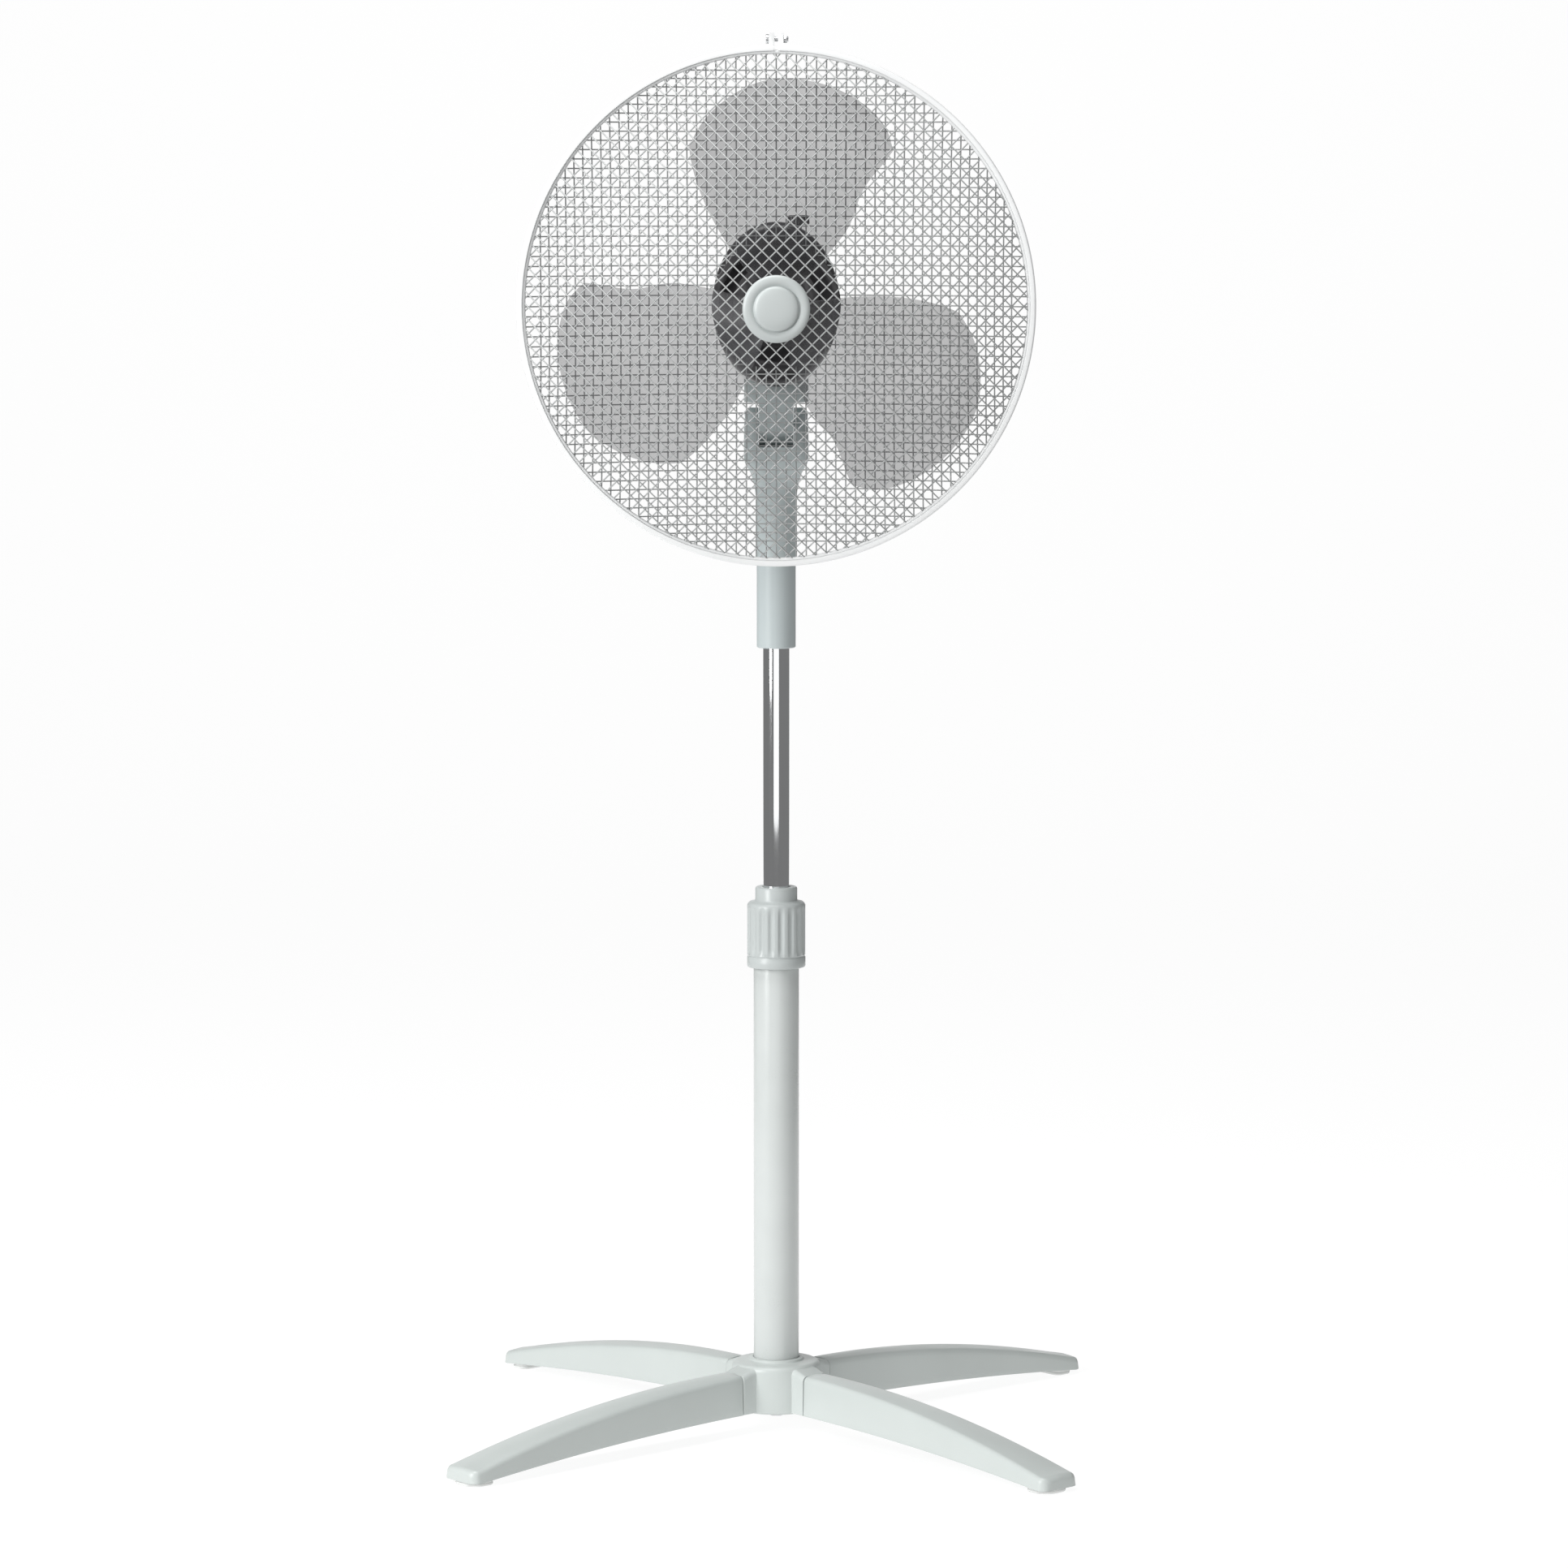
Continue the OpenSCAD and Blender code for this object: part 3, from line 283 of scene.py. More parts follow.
def moulded(name, base, gloss, grain=0.00004, coat=0.0):
    """Injection-moulded plastic: fine grain, faint flow marks and handling that dulls it in places."""
    f = Finish(name)
    flow = f.noise(9, 2, (1, 1, 0.35))
    fine = f.noise(2600, 2)
    smudge = f.noise(28, 5)
    soft = f.bump(flow, 0.0004, 0.12)
    return f.set(Base_Color=f.tint((*base,), flow * 0.7 + smudge * 0.3, 0.035),
                 Roughness=f.spread(smudge * 0.6 + fine * 0.4, gloss - 0.05, gloss + 0.08),
                 Normal=f.bump(fine, grain, 0.35, soft),
                 IOR=1.49, Coat_Weight=coat, Coat_Roughness=0.12)


def painted(name, base, gloss, peel=0.00005):
    """Powder coat on steel: orange peel, slight mottling and specks."""
    f = Finish(name)
    skin = f.noise(900, 2)
    broad = f.noise(24, 4)
    speck = f.noise(3400, 1)
    return f.set(Base_Color=f.tint(base, broad * 0.8 + speck * 0.2, 0.03),
                 Roughness=f.spread(broad * 0.5 + skin * 0.5, gloss - 0.05, gloss + 0.07),
                 Normal=f.bump(skin, peel, 0.5),
                 Coat_Weight=0.35, Coat_Roughness=0.15)


def metal(name, base, rough, grain=(1, 1, 1), scale=900, contrast=0.06):
    """Bare or plated metal with a drawn or turned grain."""
    f = Finish(name)
    lines = f.noise(scale, 3, grain)
    haze = f.noise(40, 5)
    return f.set(Base_Color=f.tint(base, lines * 0.5 + haze * 0.5, contrast), Metallic=1.0,
                 Roughness=f.spread(haze * 0.5 + lines * 0.5, rough * 0.7, rough * 1.35),
                 Normal=f.bump(lines, 0.00002, 0.25))


def blade_finish(name, base, cover):
    """Tinted see-through plastic, a little denser along its flow marks."""
    f = Finish(name)
    flow = f.noise(14, 3)
    fine = f.noise(1800, 2)
    return f.set(Base_Color=f.tint(base, flow, 0.04), Alpha=f.spread(flow, cover - 0.03, cover + 0.03),
                 Roughness=f.spread(fine, 0.2, 0.32), Normal=f.bump(fine, 0.00002, 0.3), IOR=1.49)


def striped(name, base, across, pitch, metallic, rough, contrast=0.35):
    """Stacked sheets or wound wire: fine stripes along one direction."""
    f = Finish(name)
    parts = f.node("ShaderNodeSeparateXYZ", None, {"Vector": f.place}, output="XYZ".index(across))
    wave = (parts * (TAU / pitch)).sine() * 0.5 + 0.5
    haze = f.noise(60, 4)
    return f.set(Base_Color=f.tint(base, wave * 0.5 + haze * 0.5, contrast), Metallic=metallic,
                 Roughness=f.spread(haze, rough - 0.08, rough + 0.12), Normal=f.bump(wave, pitch / 4, 0.6))


def rubber(name, base):
    """Moulded rubber with a dusty, open grain."""
    f = Finish(name)
    grain = f.noise(1500, 3)
    dust = f.noise(55, 4)
    return f.set(Base_Color=f.tint(base, dust, 0.08), Roughness=f.spread(dust, 0.62, 0.82),
                 Normal=f.bump(grain, 0.00006, 0.6))


def make_finishes(s):
    return {
        "base_plastic": moulded("base_plastic", s.base, 0.34),
        "pale_plastic": moulded("pale_plastic", s.pale, 0.32),
        "grey_plastic": moulded("grey_plastic", s.neck, 0.36),
        "dark_plastic": moulded("dark_plastic", s.motor, 0.2, 0.00002, 0.4),
        "black_plastic": moulded("black_plastic", COLOURS["black_plastic"], 0.5),
        "blade_plastic": blade_finish("blade_plastic", s.blade, s.blade_cover),
        "tube_paint": painted("tube_paint", s.tube, 0.3),
        "guard_paint": painted("guard_paint", s.guard, 0.3, 0.00002),
        "mesh_paint": painted("mesh_paint", s.mesh, 0.35, 0.00002),
        "chrome": metal("chrome", COLOURS["chrome"], 0.07, (1, 1, 0.02), 500, 0.02),
        "steel": metal("steel", COLOURS["steel"], 0.3, (1, 1, 1), 1400),
        "lamination": striped("lamination", COLOURS["lamination"], "Y", 1.0 * MM, 0.9, 0.42),
        "copper_coil": striped("copper_coil", COLOURS["copper_coil"], "Y", 0.9 * MM, 0.85, 0.35, 0.3),
        "bronze": metal("bronze", COLOURS["bronze"], 0.32, (1, 1, 1), 1700),
        "rubber": rubber("rubber", COLOURS["rubber"]),
    }


FINISHES = {}


# ---- Mesh helpers ---------------------------------------------------------------------

def link(name, mesh):
    piece = bpy.data.objects.new(name, mesh)
    bpy.context.scene.collection.objects.link(piece)
    return piece


def from_bmesh(name, bm, matrix=None):
    """A new object from a bmesh, with its faces turned outwards and its place in its mesh."""
    bmesh.ops.remove_doubles(bm, verts=bm.verts, dist=2e-6)
    bmesh.ops.delete(bm, geom=[e for e in bm.edges if not e.link_faces], context="EDGES")
    bmesh.ops.recalc_face_normals(bm, faces=bm.faces)
    mesh = bpy.data.meshes.new(name)
    bm.to_mesh(mesh)
    bm.free()
    if matrix:
        mesh.transform(matrix)
    return link(name, mesh)


def skin(rings, closed=True, looped=False, ends=True):
    """A bmesh through rows of points: closed joins each row's ends, looped the last row to the first."""
    bm = bmesh.new()
    rows = [[bm.verts.new(p) for p in ring] for ring in rings]
    count = len(rows[0])
    for a, b in zip(rows, rows[1:] + ([rows[0]] if looped else [])):
        for i in range(count if closed else count - 1):
            j = (i + 1) % count
            bm.faces.new((a[i], a[j], b[j], b[i]))
    if ends and not looped:
        bm.faces.new(rows[0])
        bm.faces.new(rows[-1])
    return bm


def turned(name, profile, segments=96, matrix=None, flat=1.0):
    """A lathed solid from a closed profile of (radius, height); flat squeezes it along X."""
    rings = [[(r * math.cos(a) * flat, r * math.sin(a), h) for r, h in profile]
             for a in (TAU * i / segments for i in range(segments))]
    return from_bmesh(name, skin(rings, looped=True), matrix)


def rounded(points, radius, steps=4):
    """A closed outline with an arc at each corner. A corner may carry its own reach as a third value."""
    out = []
    count = len(points)
    for i, point in enumerate(points):
        p = Vector(point[:2])
        r = point[2] if len(point) > 2 else radius
        before = Vector(points[i - 1][:2]) - p
        after = Vector(points[(i + 1) % count][:2]) - p
        reach = min(r, before.length * 0.4999, after.length * 0.4999)
        before.normalize()
        after.normalize()
        opening = before.angle(after)
        centre = p + (before + after).normalized() * (reach / math.cos(opening / 2))
        a = p + before * reach - centre
        b = p + after * reach - centre
        sweep = max(math.pi - opening, 1e-4)
        for k in range(steps + 1):
            t = k / steps
            out.append(tuple(centre + (a * math.sin((1 - t) * sweep) + b * math.sin(t * sweep)) / math.sin(sweep)))
    return out


def block(name, low, high):
    bm = bmesh.new()
    bmesh.ops.create_cube(bm, size=1)
    low, high = Vector(low), Vector(high)
    for v in bm.verts:
        v.co = Vector(low[i] + (v.co[i] + 0.5) * (high[i] - low[i]) for i in range(3))
    return from_bmesh(name, bm)


def rod(name, start, end, radius, segments=48):
    """A plain cylinder between two points, used to cut bores."""
    start, end = Vector(start), Vector(end)
    turn = UP.rotation_difference((end - start).normalized()).to_matrix().to_4x4()
    span = (end - start).length
    return turned(name, [(0, 0), (radius, 0), (radius, span), (0, span)], segments,
                  Matrix.Translation(start) @ turn)


def settle(piece):
    """Turns a piece's modifiers into plain mesh."""
    bpy.context.view_layer.update()
    seen = piece.evaluated_get(bpy.context.evaluated_depsgraph_get())
    mesh = bpy.data.meshes.new_from_object(seen)
    piece.modifiers.clear()
    old = piece.data
    piece.data = mesh
    if old.users == 0:
        bpy.data.meshes.remove(old)
    return piece


def drop(piece):
    mesh = piece.data
    bpy.data.objects.remove(piece)
    if mesh.users == 0:
        bpy.data.meshes.remove(mesh)


def carve(piece, tools, operation="DIFFERENCE"):
    """Cuts the tools out of a piece, or joins them to it, and removes them."""
    for tool in tools:
        m = piece.modifiers.new("carve", "BOOLEAN")
        m.operation = operation
        m.solver = "EXACT"
        m.object = tool
    settle(piece)
    for tool in tools:
        drop(tool)
    return piece


def ease_edges(piece, width, angle=32, segments=2):
    """Breaks every edge sharper than the angle."""
    m = piece.modifiers.new("edges", "BEVEL")
    m.width = width
    m.segments = segments
    m.limit_method = "ANGLE"
    m.angle_limit = math.radians(angle)
    m.use_clamp_overlap = True
    m.harden_normals = False
    return settle(piece)


def cad_copy(node, name):
    """A merged copy of a CAD node with its flat faces made whole."""
    bm = bmesh.new()
    bm.from_mesh(frame["nodes"][node].data)
    bmesh.ops.remove_doubles(bm, verts=bm.verts, dist=4e-6)
    bmesh.ops.dissolve_degenerate(bm, edges=bm.edges, dist=1e-6)
    bmesh.ops.dissolve_limit(bm, angle_limit=math.radians(0.6), verts=bm.verts, edges=bm.edges)
    mesh = bpy.data.meshes.new(name)
    bm.to_mesh(mesh)
    bm.free()
    return link(name, mesh)


def hand_over(piece, *nodes, slot=None, angle=34):
    """Gives a finished piece its finish and its body, and lets it stand for its CAD nodes."""
    slot = slot or SLOTS[nodes[0]]
    piece.data.materials.clear()
    piece.data.materials.append(FINISHES[slot])
    piece.data.shade_smooth()
    piece.data.set_sharp_from_angle(angle=math.radians(angle))
    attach(piece, BODY_OF[nodes[0]])
    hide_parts(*nodes)
    return piece


def eased_node(node, width, angle=32):
    """A CAD node whose shape is right, with its edges broken as a real part's are."""
    return hand_over(ease_edges(cad_copy(node, node + "_finished"), width, angle), node)


# ---- Geometry Nodes -------------------------------------------------------------------

def new_tree(name, inputs):
    tree = bpy.data.node_groups.new(name, "GeometryNodeTree")
    for label, kind in inputs.items():
        tree.interface.new_socket(label, in_out="INPUT", socket_type="NodeSocket" + kind)
    tree.interface.new_socket("Geometry", in_out="OUTPUT", socket_type="NodeSocketGeometry")
    entry = tree.nodes.new("NodeGroupInput")
    values = {s.name: Value(tree, s) for s in entry.outputs if s.name}
    return tree, values


def close_tree(tree, geometry, material=None):
    """Ends a tree in Realize Instances and Set Material."""
    if material:
        geometry = add_node(tree, "GeometryNodeRealizeInstances", None, {"Geometry": geometry})
        geometry = add_node(tree, "GeometryNodeSetMaterial", None, {"Geometry": geometry, "Material": material})
    exit_node = tree.nodes.new("NodeGroupOutput")
    tree.links.new(geometry.socket, exit_node.inputs[0])
    return tree


def wire_family_tree():
    """Arcs in parallel planes on a sphere round the origin, which bulges along +Z."""
    tree, v = new_tree("wire family", {
        "Wires": "Int", "Step": "Float", "Sphere": "Float", "End": "Float", "Hole": "Float",
        "Wire Radius": "Float", "Steps": "Int"})
    points = add_node(tree, "GeometryNodePoints", None, {"Count": v["Wires"] * 2})
    index = add_node(tree, "GeometryNodeInputIndex")
    wire = (index * 0.5).maths("FLOOR")
    half = index - wire * 2
    offset = ((wire - (v["Wires"] - 1) * 0.5) * v["Step"]).sine() * v["Sphere"]
    whole = v["Hole"] - 1e-5 < abs(offset)
    kept = {}
    for label, value in (("offset", offset), ("side", half * 2 - 1), ("whole", whole)):
        points = add_node(tree, "GeometryNodeStoreNamedAttribute", {"data_type": "FLOAT", "domain": "POINT"},
                          {"Geometry": points, "Name": label, "Value": value})
        kept[label] = add_node(tree, "GeometryNodeInputNamedAttribute", {"data_type": "FLOAT"}, {"Name": label})
    points = add_node(tree, "GeometryNodeDeleteGeometry", {"domain": "POINT"},
                      {"Geometry": points, "Selection": kept["whole"] * (kept["side"] + 1)})
    line = add_node(tree, "GeometryNodeCurvePrimitiveLine", None, {"Start": (0, 0, 0), "End": (1, 0, 0)})
    line = add_node(tree, "GeometryNodeResampleCurve", None, {"Curve": line, "Count": v["Steps"]})
    arcs = add_node(tree, "GeometryNodeInstanceOnPoints", None, {"Points": points, "Instance": line})
    arcs = add_node(tree, "GeometryNodeRealizeInstances", None, {"Geometry": arcs})
    place = add_node(tree, "GeometryNodeInputPosition")
    along = add_node(tree, "ShaderNodeSeparateXYZ", None, {"Vector": place})
    c, side, full = kept["offset"], kept["side"], kept["whole"]
    arc = (v["Sphere"] * v["Sphere"] - c * c).sqrt()
    outer = ((v["End"] * v["End"] - c * c).sqrt() / arc).maths("ARCSINE")
    hole = (v["Hole"] * v["Hole"] - c * c).maths("MAXIMUM", 0.0)
    inner = (hole.sqrt() / arc).maths("ARCSINE")
    start = (1 - full) * inner * side - full * outer
    end = (1 - full) * outer * side + full * outer
    angle = start + (end - start) * along
    spot = add_node(tree, "ShaderNodeCombineXYZ", None, {"X": c, "Y": arc * angle.sine(), "Z": arc * angle.cosine()})
    arcs = add_node(tree, "GeometryNodeSetPosition", None, {"Geometry": arcs, "Position": spot})
    ring = add_node(tree, "GeometryNodeCurvePrimitiveCircle", None, {"Resolution": 8, "Radius": v["Wire Radius"]})
    wires = add_node(tree, "GeometryNodeCurveToMesh", None,
                     {"Curve": arcs, "Profile Curve": ring, "Fill Caps": True})
    return close_tree(tree, wires)


def guard_dome_tree(family, material):
    """Two wire families that cross at right angles, one just under the other."""
    tree, v = new_tree("guard dome", {
        "Wires": "Int", "Step": "Float", "Sphere": "Float", "End": "Float", "Hole": "Float",
        "Wire Radius": "Float", "Steps": "Int", "Layer": "Float"})
    layers = []
    for depth in (0, 1):
        names = ("Wires", "Step", "End", "Hole", "Wire Radius", "Steps")
        sockets = {name: v[name] for name in names}
        sockets["Sphere"] = v["Sphere"] - v["Layer"] * depth
        sockets["End"] = v["End"] - v["Layer"] * (0.6 * depth)
        wires = add_node(tree, "GeometryNodeGroup", {"node_tree": family}, sockets)
        layers.append(add_node(tree, "GeometryNodeTransform", None,
                               {"Geometry": wires, "Rotation": (0, 0, depth * math.pi / 2)}))
    join = tree.nodes.new("GeometryNodeJoinGeometry")
    for wires in layers:
        tree.links.new(wires.socket, join.inputs[0])
    return close_tree(tree, Value(tree, join.outputs[0]), material)


def radial_tree(name, material):
    """Copies of a piece turned round +Z, welded where their edges meet."""
    tree, v = new_tree(name, {"Geometry": "Geometry", "Count": "Int", "Weld": "Float"})
    points = add_node(tree, "GeometryNodePoints", None, {"Count": v["Count"]})
    index = add_node(tree, "GeometryNodeInputIndex")
    turn = add_node(tree, "ShaderNodeCombineXYZ", None, {"Z": index * TAU / v["Count"]})
    copies = add_node(tree, "GeometryNodeInstanceOnPoints", None,
                      {"Points": points, "Instance": v["Geometry"], "Rotation": turn})
    copies = add_node(tree, "GeometryNodeRealizeInstances", None, {"Geometry": copies})
    copies = add_node(tree, "GeometryNodeMergeByDistance", None, {"Geometry": copies, "Distance": v["Weld"]})
    return close_tree(tree, copies, material)


def scatter_tree(name, pattern, material):
    """Copies of a pattern piece on a mesh's points, each turned to the point's own direction."""
    tree, v = new_tree(name, {"Geometry": "Geometry", "Size": "Float"})
    part = add_node(tree, "GeometryNodeObjectInfo", {"transform_space": "ORIGINAL"}, {"Object": pattern}, output=4)
    aim = add_node(tree, "GeometryNodeInputNamedAttribute", {"data_type": "FLOAT_VECTOR"}, {"Name": "aim"})
    turn = add_node(tree, "FunctionNodeAlignRotationToVector", {"axis": "Z"}, {"Vector": aim})
    copies = add_node(tree, "GeometryNodeInstanceOnPoints", None,
                      {"Points": v["Geometry"], "Instance": part, "Rotation": turn, "Scale": v["Size"]})
    return close_tree(tree, copies, material)


def grow(piece, tree, **inputs):
    """Runs a tree on a piece with the named inputs and keeps the result as plain mesh."""
    m = piece.modifiers.new(tree.name, "NODES")
    m.node_group = tree
    ids = {item.name: item.identifier for item in tree.interface.items_tree if item.in_out == "INPUT"}
    for label, value in inputs.items():
        m[ids[label.replace("_", " ")]] = value
    return settle(piece)


# ---- Base -----------------------------------------------------------------------------

def leg_feet():
    """Each leg's node, the turn of the leg about the column, and how far out its foot is."""
    for mount in RECORD["mounts"]:
        x, y, _ = mount["pos_m"]
        yield mount["name"].replace("foot_", "leg_"), math.atan2(y, x), math.hypot(x, y)


HUB_RADIUS = 38 * MM
LEG_ROOT = 50 * MM
SEAM = 0.5 * MM


def u_section(r, half, top, bottom, edge, crown=1.0 * MM):
    """An upside-down U across a leg, from one lower edge over the top to the other."""
    steps = 5
    edge = min(edge, half * 0.9)
    lean = min(0.8 * MM, half * 0.2)
    points = [(-half + lean * k / steps, bottom + (top - edge - bottom) * k / steps) for k in range(steps)]
    corner = [(-half + lean + edge - edge * math.cos(a), top - edge + edge * math.sin(a))
              for a in (math.pi / 2 * k / 6 for k in range(7))]
    points += corner
    inner = half - lean - edge
    middle = [(-inner + inner * k / 3, top + crown * (k / 3) ** 0.7) for k in range(1, 4)]
    points += middle
    points += [(-x, z) for x, z in reversed(points[:-1])]
    return [(r, x, z) for x, z in points]


def leg_station(s, r, reach):
    """Half width, top and lower edge of a leg at a distance from the column."""
    t = (r - LEG_ROOT) / (reach - LEG_ROOT)
    half = (s.leg_root_width + (s.leg_tip_width - s.leg_root_width) * t) / 2
    return half, s.leg_root_top - s.leg_drop * t * t, s.leg_root_bottom - s.leg_rise * t * t


def leg_solid(s, name, turn, reach, start, inset):
    """A solid leg, or the slightly smaller solid that hollows it out."""
    nose = 8 * MM
    end = reach - nose
    edge = max(s.edge_round - inset, 0.5 * MM)
    floor = -12 * MM if inset else 0

    def ring(r, half, top, bottom):
        return u_section(r, half - inset, top - inset, bottom + floor, edge)

    rings = [ring(r, *leg_station(s, r, reach)) for r in (start + (end - start) * k / 24 for k in range(25))]
    half, top, bottom = leg_station(s, end, reach)
    for k in range(1, 8):
        a = math.pi / 2 * k / 7
        rings.append(ring(end + (nose - inset) * math.sin(a), half - nose + nose * math.cos(a),
                          top - (1 - math.cos(a)) * 5 * MM, bottom))
    return from_bmesh(name, skin(rings), Matrix.Rotation(turn, 4, "Z"))


def build_leg(s, node, turn, foot):
    reach = foot + 15 * MM
    piece = leg_solid(s, node + "_moulding", turn, reach, LEG_ROOT + SEAM, 0)
    carve(piece, [leg_solid(s, "hollow", turn, reach, LEG_ROOT - 9 * MM, s.leg_wall)])
    return hand_over(ease_edges(piece, 0.4 * MM, 50), node, angle=38)


def hub_section(x, half, top, bottom, edge):
    """A closed outline across a hub lug."""
    corners = [(-half, bottom, 0.8 * MM), (half, bottom, 0.8 * MM), (half, top, edge), (-half, top, edge)]
    return [(x, y, z) for y, z in rounded(corners, edge, 6)]


def build_hub(s):
    low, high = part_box("base_hub")
    tube = size("lower_tube").x / 2
    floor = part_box("lower_tube")[0].z
    top = high.z
    deck = top - 3 * MM
    r = HUB_RADIUS
    profile = [(4.2 * MM, low.z), (r - 1.5 * MM, low.z), (r, low.z + 1.5 * MM), (r, deck - 5 * MM)]
    profile += [(r - 5 * MM + 5 * MM * math.cos(a), deck - 5 * MM + 5 * MM * math.sin(a))
                for a in (math.pi / 2 * k / 5 for k in range(1, 6))]
    profile += [(tube + 7 * MM, deck + 0.5 * MM), (tube + 4.6 * MM, deck + 0.9 * MM),
                (tube + 3.8 * MM, deck + 2.4 * MM), (tube + 2.6 * MM, top), (tube + 0.8 * MM, top),
                (tube + 0.1 * MM, top - 0.8 * MM), (tube + 0.1 * MM, floor), (4.2 * MM, floor)]
    hub = turned("base_hub_body", profile, 128)
    lugs = []
    for _, turn, _ in leg_feet():
        rings = [hub_section(x, s.leg_root_width / 2, h, s.leg_root_bottom, s.edge_round) for x, h in (
            (24 * MM, deck - 1.5 * MM), (r - 4 * MM, deck - 1.5 * MM), (r + 2 * MM, deck - 3 * MM),
            (LEG_ROOT - 2 * MM, s.leg_root_top + 0.4 * MM), (LEG_ROOT - SEAM, s.leg_root_top))]
        lugs.append(from_bmesh("lug", skin(rings), Matrix.Rotation(turn, 4, "Z")))
        half = s.leg_root_width / 2 - s.leg_wall - 0.6 * MM
        tongue = block("tongue", (30 * MM, -half, s.leg_root_bottom + 2 * MM),
                       (LEG_ROOT + 28 * MM, half, s.leg_root_top - 10 * MM))
        tongue.data.transform(Matrix.Rotation(turn, 4, "Z"))
        lugs.append(tongue)
    carve(hub, lugs, "UNION")
    bore = rod("bore", (0, 0, floor), (0, 0, top + MM), tube + 0.1 * MM, 128)
    carve(hub, [bore])
    ease_edges(hub, 0.5 * MM, 40)
    return hand_over(hub, "base_hub")


def build_feet():
    """Rubber pads with a ribbed sole, one under each leg tip."""
    pads = []
    high = size("foot_pads").z
    for _, turn, foot in leg_feet():
        w, half = 16.5 * MM, 12 * MM
        outline = [(foot - half, -w + 4 * MM), (foot - half + 4 * MM, -w), (foot + half - 9 * MM, -w),
                   (foot + half, 9 * MM - w), (foot + half, w - 9 * MM), (foot + half - 9 * MM, w),
                   (foot - half + 4 * MM, w), (foot - half, w - 4 * MM)]
        outline = rounded(outline, 2 * MM, 3)
        centre = Vector((foot, 0))
        rows = []
        for h, inset in ((0, 1.6 * MM), (0.5 * MM, 0.5 * MM), (1.3 * MM, 0), (2.4 * MM, 0), (2.9 * MM, 0.5 * MM),
                         (3.4 * MM, 0.5 * MM), (3.9 * MM, 0), (high - 1.2 * MM, 0), (high, 1.2 * MM)):
            share = 1 - inset / half
            rows.append([(*(centre + (Vector(p) - centre) * share), h) for p in outline])
        pads.append(from_bmesh("pad", skin(rows), Matrix.Rotation(turn, 4, "Z")))
    return hand_over(joined("foot_pads_moulded", pads), "foot_pads")


def joined(name, pieces):
    """One piece from several, without any operator's selection."""
    bm = bmesh.new()
    for piece in pieces:
        bm.from_mesh(piece.data)
    mesh = bpy.data.meshes.new(name)
    bm.to_mesh(mesh)
    bm.free()
    for piece in pieces:
        drop(piece)
    return link(name, mesh)


# ---- Column ---------------------------------------------------------------------------

def build_tube(node, wall, lip):
    low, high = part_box(node)
    r = (high.x - low.x) / 2
    outline = rounded([(r - wall, low.z), (r, low.z), (r, high.z), (r - wall, high.z)], lip, 3)
    return hand_over(turned(node + "_drawn", outline, 160), node)


def build_collar(s):
    """One fluted sector, copied round the column and welded."""
    low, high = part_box("height_collar")
    tube = size("lower_tube").x / 2
    inner = size("inner_tube").x / 2
    r = (high.x - low.x) / 2
    band = 11 * MM
    shoulder = high.z - 16 * MM
    neck = inner + 6.75 * MM
    levels = [(tube + 0.3 * MM, low.z + 0.6 * MM), (tube + 0.9 * MM, low.z), (r - 1.2 * MM, low.z),
              (r - 0.3 * MM, low.z + 0.4 * MM), (r, low.z + 1.4 * MM), (r, low.z + band - 2.4 * MM),
              (r - 0.7 * MM, low.z + band - 1.6 * MM), (r - 0.7 * MM, low.z + band - 0.9 * MM),
              (r, low.z + band - 0.2 * MM)]
    first = len(levels)
    steps = 14
    start = low.z + band
    levels += [(r, start + (shoulder - start) * k / steps) for k in range(1, steps)]
    last = len(levels)
    levels += [(r, shoulder), (r - 0.6 * MM, shoulder + 1.5 * MM), (r - 2 * MM, shoulder + 3 * MM),
               (neck + 0.8 * MM, shoulder + 4 * MM), (neck, shoulder + 5 * MM), (neck, high.z - 1.6 * MM),
               (neck - 0.4 * MM, high.z - 0.5 * MM), (neck - 1.4 * MM, high.z), (inner + 1 * MM, high.z),
               (inner + 0.35 * MM, high.z - 0.7 * MM), (inner + 0.35 * MM, high.z - 13 * MM),
               (inner + 3.1 * MM, high.z - 13.5 * MM), (tube - 2 * MM, low.z + 37 * MM),
               (tube + 0.3 * MM, low.z + 36 * MM)]
    across = 12
    sweep = TAU / s.flutes
    rings = []
    for k in range(across + 1):
        share = k / across
        a = sweep * (share - 0.5)
        valley = max(0.0, math.cos(math.pi * (share - 0.5) / 0.62)) ** 0.8 if abs(share - 0.5) < 0.31 else 0.0
        ring = []
        for i, (radius, z) in enumerate(levels):
            if first <= i < last:
                run = (i - first + 1) / (last - first + 1)
                radius -= s.flute_depth * valley * min(1.0, math.sin(math.pi * run) * 3.2)
            ring.append((radius * math.cos(a), radius * math.sin(a), z))
        rings.append(ring)
    sector = from_bmesh("height_collar_moulded", skin([list(r) for r in rings], closed=True, ends=False))
    tree = radial_tree("collar flutes", FINISHES["pale_plastic"])
    piece = grow(sector, tree, Count=s.flutes, Weld=2e-5)
    make_outward(piece)
    return hand_over(piece, "height_collar", angle=45)


def make_outward(piece):
    bm = bmesh.new()
    bm.from_mesh(piece.data)
    bmesh.ops.remove_doubles(bm, verts=bm.verts, dist=2e-6)
    bmesh.ops.recalc_face_normals(bm, faces=bm.faces)
    bm.to_mesh(piece.data)
    bm.free()


# ---- Neck housing ---------------------------------------------------------------------

def neck_ring(z, half, front, rear, corner):
    corners = [(-half, front), (half, front), (half, rear), (-half, rear)]
    return [(x, y, z) for x, y in rounded(corners, corner, 12)]


